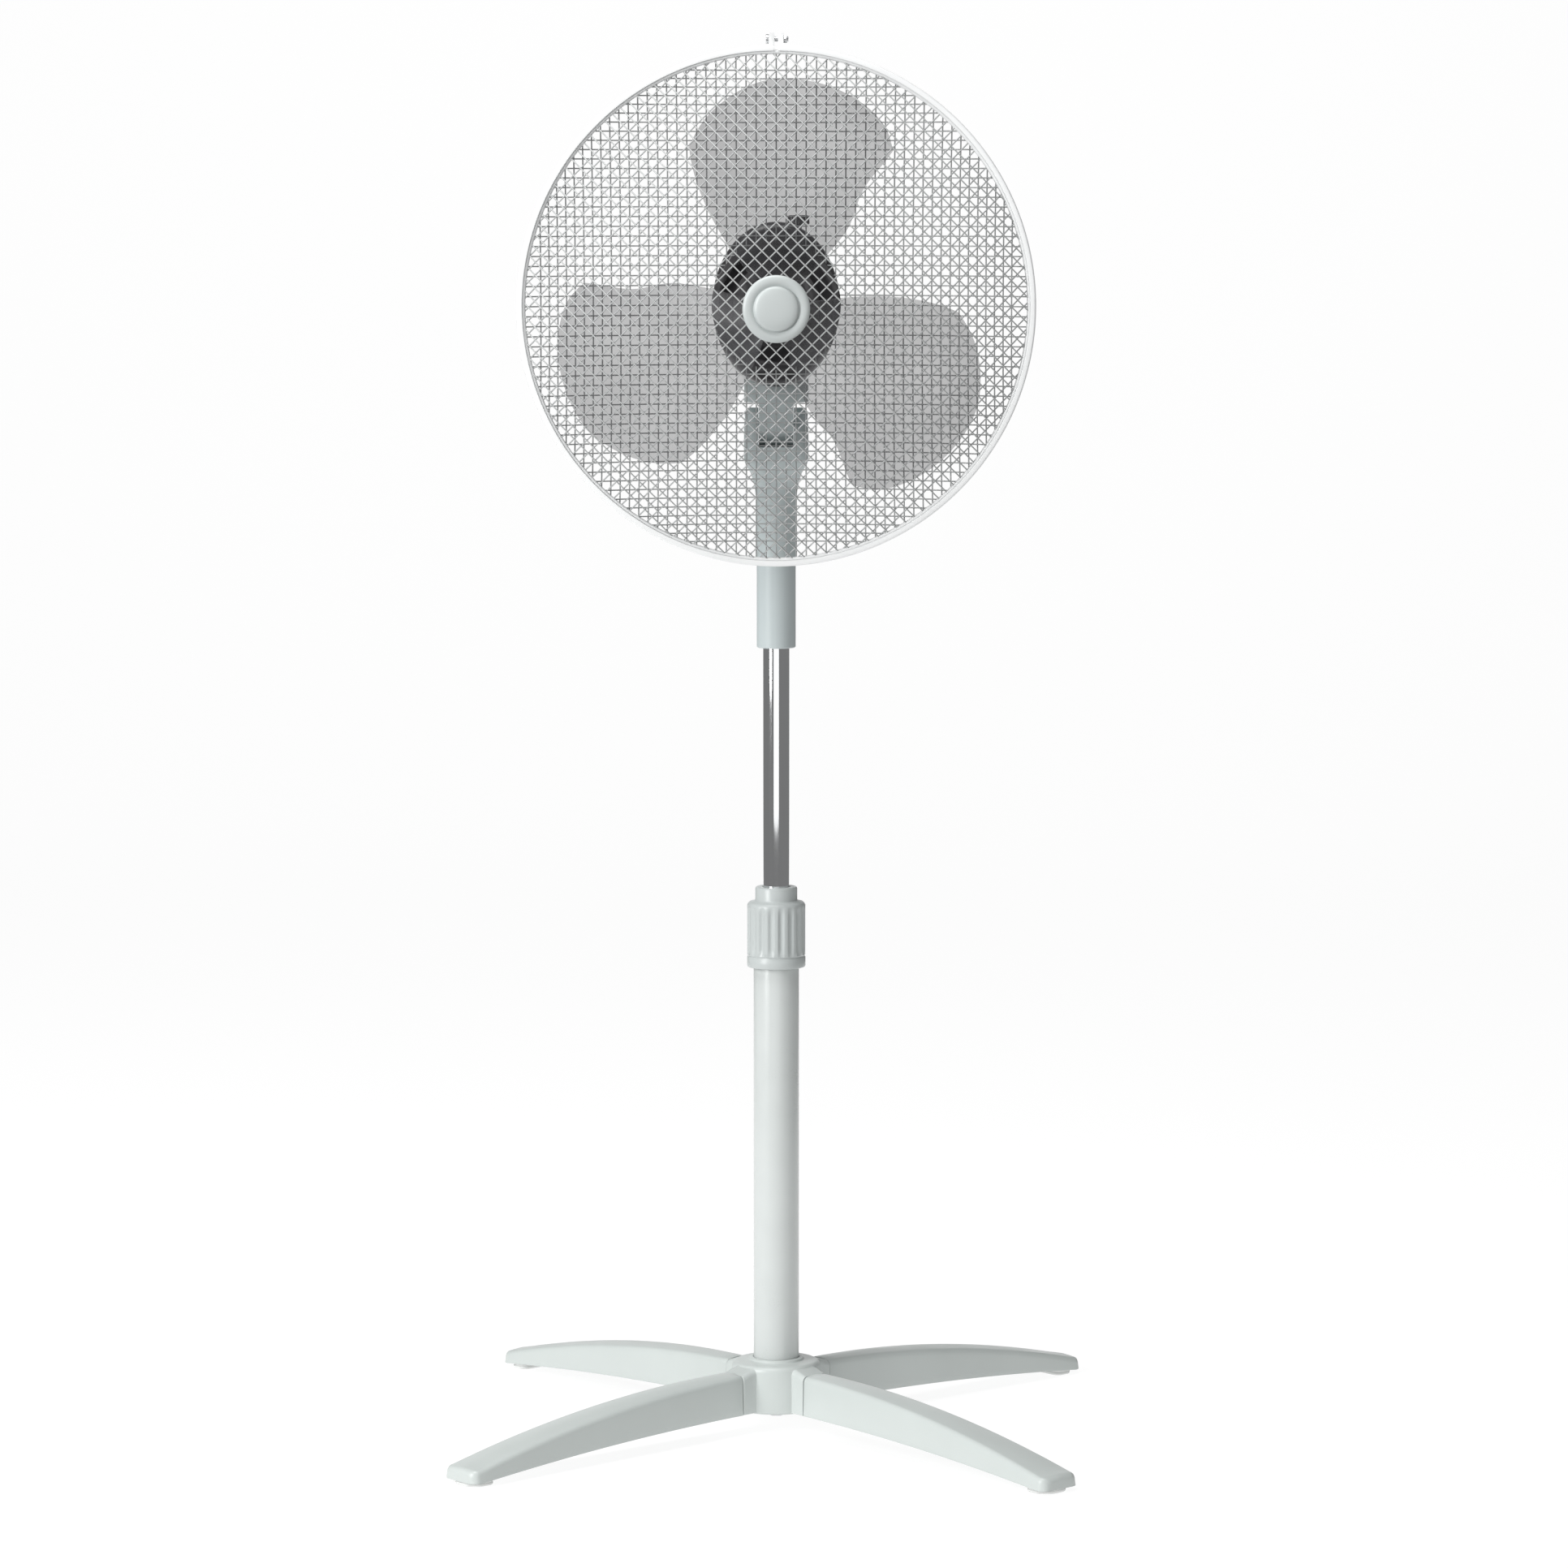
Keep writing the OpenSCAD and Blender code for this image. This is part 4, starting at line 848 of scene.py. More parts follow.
def neck_solid():
    """The whole outside of the housing: round sleeve, taper, block and ears."""
    low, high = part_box("housing_front")
    half = (high.x - low.x) / 2
    front = -low.y
    rear = front + 2 * MM
    sleeve = 16.6 * MM
    block_z = PIVOT_Z - 32 * MM
    ear = high.z - PIVOT_Z
    rings = []
    for z in (low.z, low.z + 0.8 * MM, block_z - 40 * MM):
        r = sleeve - (0.7 * MM if z == low.z else 0)
        rings.append((z, r, -r, r, r))
    widths = ((-40, 16.6), (-24, 18.4), (-12, 21.4), (-8, 23.4), (-3, 26.2))
    for k in range(1, 15):
        z = -40 + 37 * k / 14
        wide = smooth_between(z, widths) * MM
        t = max(0, (z + 26) / 26) ** 1.2
        deep = sleeve + (front - sleeve) * t
        rings.append((block_z + z * MM, wide, -deep, deep + 2 * MM * t, sleeve * (1 - t) + 9 * MM * t))
    rings += [(block_z - 2 * MM, half - 0.8 * MM, 0.8 * MM - front, rear - 0.8 * MM, 8.6 * MM),
              (block_z + 1 * MM, half, -front, rear, 8.4 * MM),
              (PIVOT_Z - 20 * MM, half, -front, rear, 8.4 * MM),
              (PIVOT_Z - 15 * MM, half, 1.6 * MM - front, rear - 2 * MM, 8.2 * MM)]
    for k in range(1, 5):
        t = k / 4
        y = front - 2.4 * MM - (front - 2.4 * MM - ear) * t
        rings.append((PIVOT_Z - 15 * MM + 17 * MM * t, half - 0.2 * MM * t, -y, y, min(8 * MM, y * 0.7)))
    for k in range(1, 7):
        a = math.pi / 2 * (0.12 + 0.88 * k / 6)
        y = max(ear * math.cos(a), 1.2 * MM)
        x = half - 0.4 * MM - 3.2 * MM * max(0, math.sin(a) - 0.6) / 0.4
        rings.append((PIVOT_Z + ear * math.sin(a), x, -y, y, y * 0.8))
    return from_bmesh("neck", skin([neck_ring(*ring) for ring in rings]))


def neck_cutters():
    """The tongue's slot, the tube's seat, the keys' chamber and windows, the bolt's bore and its seats."""
    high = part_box("housing_front")[1]
    slot = size("neck_bracket").x
    tongue = 15.1 * MM
    inner = size("inner_tube").x / 2 + 0.05 * MM
    pod_low, pod_high = pod_box()
    keys_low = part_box("speed_key_0")[0]
    keys_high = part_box("speed_key_3")[1]
    low_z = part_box("housing_front")[0].z
    cutters = [
        block("slot", (-tongue, -slot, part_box("neck_bracket")[0].z - 0.6 * MM), (tongue, slot, high.z + 20 * MM)),
        rod("seat", (0, 0, low_z - MM), (0, 0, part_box("inner_tube")[1].z), inner, 96),
        rod("bolt", (-60 * MM, 0, PIVOT_Z), (60 * MM, 0, PIVOT_Z), 3.05 * MM),
        block("chamber", (pod_low.x + 2.2 * MM, 16.8 * MM, pod_low.z + 2.2 * MM),
              (pod_high.x - 2.2 * MM, pod_high.y - 2.2 * MM, pod_high.z - 2.2 * MM)),
        rod("cord", (0, 28 * MM, pod_low.z - MM), (0, 28 * MM, pod_low.z + 5 * MM), 4.3 * MM),
    ]
    for side in (-1, 1):
        edge = high.x * side
        cutters.append(rod("seat", (edge - side * 5 * MM, 0, PIVOT_Z), (edge + side * 9 * MM, 0, PIVOT_Z), 6.6 * MM))
    for i in range(4):
        low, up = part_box(f"speed_key_{i}")
        middle = (low.z + up.z) / 2
        cutters.append(block("window", (-8.4 * MM, pod_high.y - 4 * MM, middle - 5.6 * MM),
                             (8.4 * MM, pod_high.y + 4 * MM, middle + 5.6 * MM)))
    return cutters


def pod_box():
    """The pod that holds the keys, behind the sleeve."""
    low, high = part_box("housing_rear")
    half = 16.2 * MM
    return Vector((-half, 5 * MM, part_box("cord_inlet")[1].z - 4 * MM)), Vector((half, high.y, PIVOT_Z - 28 * MM))


def pod_solid():
    low, high = pod_box()
    rings = []
    deep = high.y
    for k, (share, inset) in enumerate(((0, 4 * MM), (0.012, 1.6 * MM), (0.04, 0.2 * MM), (0.06, 0),
                                        (0.94, 0), (0.96, 0.2 * MM), (0.988, 1.6 * MM), (1, 4 * MM))):
        z = low.z + (high.z - low.z) * share
        corners = [(-high.x + inset * 0.5, low.y, 0.2 * MM), (high.x - inset * 0.5, low.y, 0.2 * MM),
                   (high.x - inset * 0.5, deep - inset), (-high.x + inset * 0.5, deep - inset)]
        rings.append([(x, y, z) for x, y in rounded(corners, 4 * MM, 8)])
    return from_bmesh("pod", skin(rings))


def build_neck_housing():
    whole = neck_solid()
    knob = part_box("mast_knob")
    knob_z = (knob[0].z + knob[1].z) / 2
    seat = rod("seat", (0, 12 * MM, knob_z), (0, 18.6 * MM, knob_z), 8 * MM)
    carve(whole, [pod_solid(), seat], "UNION")
    cutters = neck_cutters() + [rod("thread", (0, 5 * MM, knob_z), (0, 30 * MM, knob_z), 3.05 * MM)]
    carve(whole, cutters)
    far = 200 * MM
    seam = 0.12 * MM
    for node, low_y, high_y in (("housing_front", -far, -seam), ("housing_rear", seam, far)):
        half = link(node + "_moulded", whole.data.copy())
        carve(half, [block("keep", (-far, low_y, 0), (far, high_y, 2))], "INTERSECT")
        ease_edges(half, 0.45 * MM, 38)
        hand_over(half, node)
    drop(whole)


def build_keys():
    """Dished keys with eased edges, one for each CAD key."""
    for i in range(4):
        node = f"speed_key_{i}"
        low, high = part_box(node)
        middle = (low.z + high.z) / 2
        tall = 10.4 * MM / 2
        wide = 8 * MM
        face = high.y
        rings = []
        for y, inset in ((face - 9 * MM, 0), (face - 2 * MM, 0), (face - 0.8 * MM, 0.25 * MM),
                         (face - 0.15 * MM, 0.9 * MM), (face, 1.8 * MM), (face - 0.5 * MM, 3.4 * MM)):
            corners = [(-wide + inset, -tall + inset), (wide - inset, -tall + inset),
                       (wide - inset, tall - inset), (-wide + inset, tall - inset)]
            rings.append([(x, y, middle + z) for x, z in rounded(corners, 2 * MM, 5)])
        key = from_bmesh("key", skin(rings))
        flange = block("flange", (low.x, face - 7.9 * MM, low.z), (high.x, face - 5.7 * MM, high.z))
        stem = block("stem", (-3 * MM, low.y, middle - 3 * MM), (3 * MM, face - 6 * MM, middle + 3 * MM))
        carve(key, [flange, stem], "UNION")
        key.name = node + "_cap"
        hand_over(key, node, angle=42)


def build_mast_knob():
    """A knob with six finger lobes and a dished cap."""
    low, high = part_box("mast_knob")
    z = (low.z + high.z) / 2
    seat = high.y - 12 * MM
    lobes, segments = 6, 96
    rings = []
    for depth, share, wave in ((0, 0.72, 0.2), (0.6, 0.86, 0.6), (2, 0.93, 1), (9, 0.97, 1), (10.6, 0.93, 0.9),
                               (11.7, 0.82, 0.6), (12, 0.66, 0.2), (11.4, 0.5, 0), (11.2, 0.2, 0)):
        ring = []
        for k in range(segments):
            a = TAU * k / segments
            r = 11 * MM * (share - 0.11 * wave * (0.5 + 0.5 * math.cos(lobes * a)) ** 1.4)
            ring.append((r * math.cos(a), seat + depth * MM, z + r * math.sin(a)))
        rings.append(ring)
    knob = from_bmesh("mast_knob_moulded", skin(rings))
    carve(knob, [rod("screw", (0, low.y, z), (0, seat + 3 * MM, z), 3 * MM)], "UNION")
    return hand_over(knob, "mast_knob", angle=45)


# ---- Motor ----------------------------------------------------------------------------

SPLIT = 38 * MM
SHELL = 2.4 * MM


def motor_outline(inset):
    """Half height against forward distance, from the tail to the front face."""
    half = size("front_plate").z / 2 - inset
    back = -forward("rear_cover")[0] - inset
    front = 53 * MM - inset
    edge = 9 * MM
    tail = []
    for k in range(15):
        t = math.cos(math.pi / 2 * (k / 14))
        tail.append((half * max(0.0, 1 - t ** 2.7) ** (1 / 2.7), -back * t))
    nose = [(half - edge + edge * math.cos(a), front - edge + edge * math.sin(a))
            for a in (math.pi / 2 * k / 7 for k in range(8))]
    return tail + nose


def motor_form(name, inset):
    outline = motor_outline(inset)
    flat = size("front_plate").x / size("front_plate").z
    profile = [(0, outline[0][1])] + outline[1:] + [(0, outline[-1][1])]
    return turned(name, profile, 160, ON_AXIS, flat)


def along_axis(name, radius, start, end, segments=96):
    piece = rod(name, (0, 0, start), (0, 0, end), radius, segments)
    piece.data.transform(ON_AXIS)
    return piece


def build_motor_shells():
    far = 300 * MM
    outer = motor_form("motor", 0)
    carve(outer, [motor_form("hollow", SHELL)])
    front = link("front_plate_moulded", outer.data.copy())
    carve(front, [block("keep", (-far, -far, 0), (far, -SPLIT - 0.15 * MM, 2))], "INTERSECT")
    first, last = forward("front_plate")
    boss = turned("boss", rounded([(4.6 * MM, 50 * MM), (24 * MM, 50 * MM), (24 * MM, last), (4.6 * MM, last)],
                                  1 * MM, 3), 128, ON_AXIS)
    carve(front, [boss], "UNION")
    carve(front, [along_axis("bearing", 9.02 * MM, 40 * MM, last - 4 * MM)])
    hand_over(ease_edges(front, 0.4 * MM, 45), "front_plate")

    rear = link("rear_cover_moulded", outer.data.copy())
    drop(outer)
    carve(rear, [block("keep", (-far, -SPLIT + 0.15 * MM, SWIVEL_Z), (far, far, 2))], "INTERSECT")
    floor = motor_form("floor", 0.3 * MM)
    carve(floor, [block("keep", (-far, -SPLIT + 0.2 * MM, SWIVEL_Z), (far, far, SWIVEL_Z + SHELL))], "INTERSECT")
    carve(rear, [floor], "UNION")
    gear = JOINTS["worm_wheel_turn"]["pos_m"]
    pin = JOINTS["link_turn"]["pos_m"]
    reach, angle = math.hypot(pin[0], pin[1]), math.atan2(pin[1], pin[0])
    cutters = [rod("stem", (gear[0], gear[1], MOTOR_Z + 20 * MM), (gear[0], gear[1], MOTOR_Z + 90 * MM), 3.2 * MM),
               rod("post", (0, 0, SWIVEL_Z - MM), (0, 0, SWIVEL_Z + 5 * MM), 10.5 * MM)]
    arc = []
    swing = math.radians(52)
    for r in (reach - 2.6 * MM, reach + 2.6 * MM):
        row = [(r * math.cos(a), r * math.sin(a)) for a in (angle - swing + 2 * swing * k / 24 for k in range(25))]
        arc += row if r < reach else row[::-1]
    cutters.append(from_bmesh("track", skin([[(x, y, z) for x, y in arc] for z in (SWIVEL_Z - MM, SWIVEL_Z + 8 * MM)])))
    carve(rear, cutters)
    carve(rear, vent_bars())
    hand_over(ease_edges(rear, 0.35 * MM, 45), "rear_cover")


def vent_bars():
    """Rows of slots through the tail, shortest at the sides."""
    bars = []
    back = -forward("rear_cover")[0]
    count = 9
    for i in range(count):
        x = (i - (count - 1) / 2) * 7 * MM
        tall = 26 * MM * math.sqrt(1 - (x / (36 * MM)) ** 2)
        rings = []
        for y in (back - 26 * MM, back + 5 * MM):
            outline = rounded([(x - 1.3 * MM, -tall), (x + 1.3 * MM, -tall), (x + 1.3 * MM, tall),
                               (x - 1.3 * MM, tall)], 1.25 * MM, 3)
            rings.append([(u, y, MOTOR_Z + v) for u, v in outline])
        bars.append(from_bmesh("vent", skin(rings)))
    return bars


def build_osc_knob():
    low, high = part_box("osc_knob")
    x, y = (low.x + high.x) / 2, (low.y + high.y) / 2
    under = high.z - 8 * MM
    ribs, segments = 20, 160
    rings = []
    for h, share, wave in ((0, 0.84, 0), (0.3, 0.95, 0), (1.2, 1, 0), (1.7, 1, 1), (6, 0.98, 1), (6.6, 0.97, 0),
                           (7.4, 0.93, 0), (8, 0.82, 0), (7.5, 0.7, 0), (7.4, 0.3, 0)):
        ring = []
        for k in range(segments):
            a = TAU * k / segments
            r = 9.5 * MM * (share - 0.05 * wave * (0.5 + 0.5 * math.cos(ribs * a)))
            ring.append((x + r * math.cos(a), y + r * math.sin(a), under + h * MM))
        rings.append(ring)
    knob = from_bmesh("osc_knob_moulded", skin(rings))
    carve(knob, [rod("stem", (x, y, low.z), (x, y, under + 3 * MM), 2.8 * MM)], "UNION")
    return hand_over(knob, "osc_knob", angle=42)


# ---- Blades ---------------------------------------------------------------------------

LEFT_EDGE = ((20, -40), (75, -37), (117, -33), (152, -28), (187, -20))
RIGHT_EDGE = ((20, 46), (84, 43), (117, 37), (155, 37), (172, 36), (187, 30))
TIP_LINE = ((0, 0.80), (0.08, 0.885), (0.2, 0.952), (0.35, 0.992), (0.55, 1), (0.75, 0.984), (0.9, 0.94), (1, 0.855))


def smooth_between(x, table):
    """Reads a table with a curve that runs smoothly through its points."""
    xs = [p[0] for p in table]
    ys = [p[1] for p in table]
    slopes = [(ys[min(i + 1, len(xs) - 1)] - ys[max(i - 1, 0)]) / (xs[min(i + 1, len(xs) - 1)] - xs[max(i - 1, 0)])
              for i in range(len(xs))]
    x = min(max(x, xs[0]), xs[-1])
    i = max(k for k in range(len(xs) - 1) if xs[k] <= x)
    step = xs[i + 1] - xs[i]
    t = (x - xs[i]) / step
    return ((1 + 2 * t) * (1 - t) ** 2 * ys[i] + t * (1 - t) ** 2 * step * slopes[i]
            + t * t * (3 - 2 * t) * ys[i + 1] + t * t * (t - 1) * step * slopes[i + 1])


def blade_sheet(s, middle, tip):
    """The middle surface of one blade, as rows from the hub to the tip."""
    across, along = 40, 30
    root = s.hub_radius - 3 * MM
    rows = []
    for j in range(along + 1):
        row = []
        for i in range(across + 1):
            u = i / across
            r = root + (smooth_between(u, TIP_LINE) * tip - root) * j / along
            k = r / tip * 187
            low, high = smooth_between(k, LEFT_EDGE), smooth_between(k, RIGHT_EDGE)
            a = low + (high - low) * u
            ease = 0.62 + 0.38 * min(1, (r - root) / (60 * MM))
            camber = 4 * MM * (1 - (2 * u - 1) ** 2)
            f = middle - s.lead * ease * math.radians(a - 2) + camber
            row.append((r * math.sin(math.radians(a)), r * math.cos(math.radians(a)), f))
        rows.append(row)
    return rows


def build_blades(s):
    back, front = forward("fan_blades")
    shaft = size("motor_shaft").x / 2
    middle = 131 * MM
    hub_back, hub_front = middle - 19 * MM, middle + 19 * MM
    tip = 187 * MM
    bm = skin(blade_sheet(s, middle, tip), closed=False, ends=False)
    blade = from_bmesh("fan_blades_moulded", bm)
    wall = blade.modifiers.new("wall", "SOLIDIFY")
    wall.thickness = s.thickness
    wall.offset = 0
    settle(blade)
    ease_edges(blade, 0.7 * MM, 60, 3)
    tree = radial_tree("blades round the hub", FINISHES["blade_plastic"])
    piece = grow(blade, tree, Count=s.count, Weld=0.0)
    r = s.hub_radius
    cup = [(shaft + 0.1 * MM, hub_back + 4 * MM), (shaft + 5 * MM, hub_back + 4 * MM), (shaft + 5 * MM, hub_back + 12 * MM),
           (r - 2.4 * MM, hub_back + 14 * MM), (r - 2.4 * MM, hub_back), (r, hub_back), (r, hub_front - 7 * MM)]
    cup += [(r - 7 * MM + 7 * MM * math.cos(a), hub_front - 7 * MM + 7 * MM * math.sin(a))
            for a in (math.pi / 2 * k / 6 for k in range(1, 7))]
    cup += [(shaft + 0.1 * MM, hub_front)]
    hub = turned("hub", cup, 128)
    carve(piece, [hub], "UNION")
    piece.data.transform(ON_AXIS)
    return hand_over(piece, "fan_blades", angle=40)


def build_spinner():
    back, front = forward("spinner")
    r = size("spinner").x / 2
    ribs, segments = 16, 128
    rings = []
    for f, share, wave in ((0, 0.95, 0), (0.8, 1, 0), (1.4, 1, 1), (5, 0.98, 1), (6, 0.95, 0.4), (9, 0.86, 0),
                           (11.5, 0.7, 0), (13, 0.5, 0), (13.8, 0.25, 0), (14, 0.06, 0)):
        ring = []
        for k in range(segments):
            a = TAU * k / segments
            radius = r * (share - 0.05 * wave * (0.5 + 0.5 * math.cos(ribs * a)))
            ring.append((radius * math.cos(a), radius * math.sin(a), back + f * MM))
        rings.append(ring)
    piece = from_bmesh("spinner_moulded", skin(rings), ON_AXIS)
    carve(piece, [along_axis("bore", 4 * MM, back - MM, back + 8.4 * MM)])
    return hand_over(piece, "spinner", angle=42)


# ---- Guard ----------------------------------------------------------------------------

def guard_sizes(s):
    """The hoop's outer radius, the rim wires' radius, the dome's sphere and the joint plane."""
    outer = size("guard_hoop").x / 2
    rim = outer - s.rim_inset
    sphere = (rim ** 2 + s.depth ** 2) / (2 * s.depth)
    back, front = forward("guard_hoop")
    return outer, rim, sphere, (back + front) / 2


def build_guard_mesh(s):
    outer, rim, sphere, plane = guard_sizes(s)
    apex = plane + s.rim_wire / 2 + 0.1 * MM + s.depth
    step = s.pitch / sphere
    last = math.floor(math.asin((rim - 14 * MM) / sphere) / step)
    layer = s.wire + 0.05 * MM
    inner_stop = 50 * MM
    tree = guard_dome_tree(wire_family_tree(), FINISHES["mesh_paint"])
    for node, hole in (("front_guard_mesh", 0.0), ("rear_guard_mesh", inner_stop)):
        piece = link(node + "_wires", bpy.data.meshes.new(node))
        grow(piece, tree, Wires=2 * last + 1, Step=step, Sphere=sphere, End=rim - 0.3 * MM, Hole=hole,
             Wire_Radius=s.wire / 2, Steps=40, Layer=layer)
        if hole:
            flip = Matrix.Translation((0, 0, 2 * plane - apex + sphere)) @ Matrix.Rotation(math.pi, 4, "X")
            piece.data.transform(ON_AXIS @ flip)
        else:
            lift = Matrix.Translation((0, 0, apex - sphere)) @ Matrix.Rotation(math.pi / 4, 4, "Z")
            piece.data.transform(ON_AXIS @ lift)
        hand_over(piece, node, angle=60)


def build_guard_rims(s):
    outer, rim, sphere, plane = guard_sizes(s)
    r = s.rim_wire / 2
    for node, side in (("front_guard_rim", 1), ("rear_guard_rim", -1)):
        middle = plane + side * (r + 0.1 * MM)
        ring = [(rim + r * math.cos(a), middle + r * math.sin(a)) for a in (TAU * k / 20 for k in range(20))]
        hand_over(turned(node + "_wire", ring, 288, ON_AXIS), node)


def build_hoop(s):
    outer, rim, sphere, plane = guard_sizes(s)
    back, front = forward("guard_hoop")
    half = (front - back) / 2
    wall = 2 * MM
    lip = 1.4 * MM
    inner = rim + 0.7 * MM
    corners = [(outer, plane - half, 1.6 * MM), (outer, plane + half, 1.6 * MM), (inner, plane + half, 0.6 * MM),
               (inner, plane + half - lip, 0.3 * MM), (outer - wall, plane + half - lip, 0.5 * MM),
               (outer - wall, plane - half + lip, 0.5 * MM), (inner, plane - half + lip, 0.3 * MM),
               (inner, plane - half, 0.6 * MM)]
    hoop = turned("guard_hoop_formed", rounded(corners, MM, 4), 360, ON_AXIS)
    top = MOTOR_Z + outer
    lugs = []
    for side in (-1, 1):
        a, b = sorted((1.5 * MM * side, 6 * MM * side))
        lugs.append(block("lug", (a, -plane - 5 * MM, top - wall), (b, -plane + 5 * MM, top + 10 * MM)))
    carve(hoop, lugs, "UNION")
    carve(hoop, [block("gap", (-1.5 * MM, -plane - 20 * MM, top - 20 * MM), (1.5 * MM, -plane + 20 * MM, top + 40 * MM)),
                 rod("hole", (-20 * MM, -plane, top + 5 * MM), (20 * MM, -plane, top + 5 * MM), 2.1 * MM)])
    return hand_over(ease_edges(hoop, 0.4 * MM, 50), "guard_hoop", angle=40)


def build_badge(s):
    """A blank badge: a bevelled ring round a domed middle, on four pins."""
    outer, rim, sphere, plane = guard_sizes(s)
    back, front = forward("guard_badge")
    face = front - 7.4 * MM
    r = size("guard_badge").x / 2
    outline = [(0, face), (r - 0.6 * MM, face), (r, face + 0.5 * MM), (r, face + 1.4 * MM), (r - 0.5 * MM, face + 2.4 * MM),
               (r - 1.8 * MM, face + 3.2 * MM), (r - 4 * MM, face + 3.7 * MM), (r - 7.6 * MM, face + 3.4 * MM),
               (r - 8.6 * MM, face + 2.6 * MM), (r - 9.2 * MM, face + 2.7 * MM), (r - 9.5 * MM, face + 4.6 * MM)]
    dome = r - 9.5 * MM
    outline += [(dome * math.cos(a) ** 0.7, face + 4.6 * MM + 2.8 * MM * math.sin(a))
                for a in (math.pi / 2 * k / 9 for k in range(1, 9))] + [(0, front)]
    badge = turned("guard_badge_moulded", outline, 144, ON_AXIS)
    leg = 1.5 * s.pitch
    pins = []
    for x, y in ((-1, -1), (-1, 1), (1, -1), (1, 1)):
        spot = Matrix.Rotation(math.pi / 4, 4, "Z") @ Vector((x * leg, y * leg, 0))
        pin = rod("pin", (spot.x, spot.y, back), (spot.x, spot.y, face + MM), 1.5 * MM, 24)
        pin.data.transform(ON_AXIS)
        pins.append(pin)
    carve(badge, pins, "UNION")
    return hand_over(badge, "guard_badge", angle=40)


# ---- Fasteners ------------------------------------------------------------------------

def screw_pattern(name, head_r, head_h, shank_r, shank_l):
    """A pan-head screw with a cross recess, its head's underside at the origin and its head along +Z."""
    profile = [(0, -shank_l), (shank_r * 0.6, -shank_l), (shank_r, -shank_l + shank_r * 0.8), (shank_r, 0),
               (head_r * 0.96, 0), (head_r, head_h * 0.15), (head_r * 0.97, head_h * 0.5),
               (head_r * 0.8, head_h * 0.85), (head_r * 0.45, head_h), (0, head_h)]
    screw = turned(name, profile, 32)
    arm, wide = head_r * 0.6, head_r * 0.11
    cross = [block("arm", (-arm, -wide, head_h * 0.35), (arm, wide, head_h * 2)),
             block("arm", (-wide, -arm, head_h * 0.35), (wide, arm, head_h * 2))]
    return carve(screw, cross)


def build_screws(node, places, aim, head_r, head_h, shank_r, shank_l):
    """Like screws at several places: each place is the underside of a head, which faces along aim."""
    mesh = bpy.data.meshes.new(node)
    mesh.from_pydata([tuple(p) for p in places], [], [])
    attribute = mesh.attributes.new("aim", "FLOAT_VECTOR", "POINT")
    for item in attribute.data:
        item.vector = aim
    piece = link(node + "_set", mesh)
    pattern = screw_pattern("pattern", head_r, head_h, shank_r, shank_l)
    tree = scatter_tree(node + " screws", pattern, FINISHES[SLOTS[node]])
    grow(piece, tree, Size=1.0)
    drop(pattern)
    return hand_over(piece, node, angle=40)


def clusters(node):
    """The centre and box of each separate solid of a CAD node."""
    bm = bmesh.new()
    bm.from_mesh(frame["nodes"][node].data)
    bmesh.ops.remove_doubles(bm, verts=bm.verts, dist=4e-6)
    seen, found = set(), []
    for start in bm.verts:
        if start in seen:
            continue
        stack, group = [start], []
        seen.add(start)
        while stack:
            v = stack.pop()
            group.append(v.co.copy())
            for e in v.link_edges:
                w = e.other_vert(v)
                if w not in seen:
                    seen.add(w)
                    stack.append(w)
        found.append((Vector(min(p[i] for p in group) for i in range(3)),
                      Vector(max(p[i] for p in group) for i in range(3))))
    bm.free()
    return found


def build_fasteners():
    """The screws, each set in the places and sizes of its CAD solids."""
    leg_low = []
    for low, high in clusters("leg_screws"):
        leg_low.append(((low.x + high.x) / 2, (low.y + high.y) / 2, low.z + 3 * MM))
    build_screws("leg_screws", leg_low, -UP, 4.6 * MM, 3 * MM, 2.48 * MM, size("leg_screws").z - 3 * MM)
    back = []
    for low, high in clusters("cover_screws"):
        back.append(((low.x + high.x) / 2, high.y - 2.2 * MM, (low.z + high.z) / 2))
    build_screws("cover_screws", back, Vector((0, 1, 0)), 3 * MM, 2.2 * MM, 1.48 * MM, 15 * MM)
    house = []
    for low, high in clusters("housing_screws"):
        house.append(((low.x + high.x) / 2, high.y - 2.2 * MM, (low.z + high.z) / 2))
    build_screws("housing_screws", house, Vector((0, 1, 0)), 2.9 * MM, 2.2 * MM, 1.5 * MM,
                 size("housing_screws").y - 2.2 * MM)


# Nodes whose shape is right as it stands, with the width of the broken edges
EASED = {
    "base_washer": 0.25, "base_bolt": 0.35, "tube_plug": 0.4, "collet": 0.25, "tube_bush": 0.4,
    "switch_block": 0.5, "capacitor": 1.2, "cord_inlet": 0.5, "tilt_bolt": 0.4, "tilt_nut": 0.3,
    "neck_bracket": 0.8, "link_pin": 0.3, "swivel_post": 0.4, "stator_core": 0.4, "front_bearing": 0.3,
    "rear_bearing": 0.3, "gearbox_case": 0.5, "rear_guard_plate": 0.6, "guard_nut": 0.6, "hoop_screw": 0.3,
    "badge_clip": 0.3, "motor_shaft": 0.4, "rotor_core": 0.4, "worm": 0.1, "blade_pin": 0.3,
    "worm_wheel": 0.15, "crank": 0.3, "link_arm": 0.3,
}


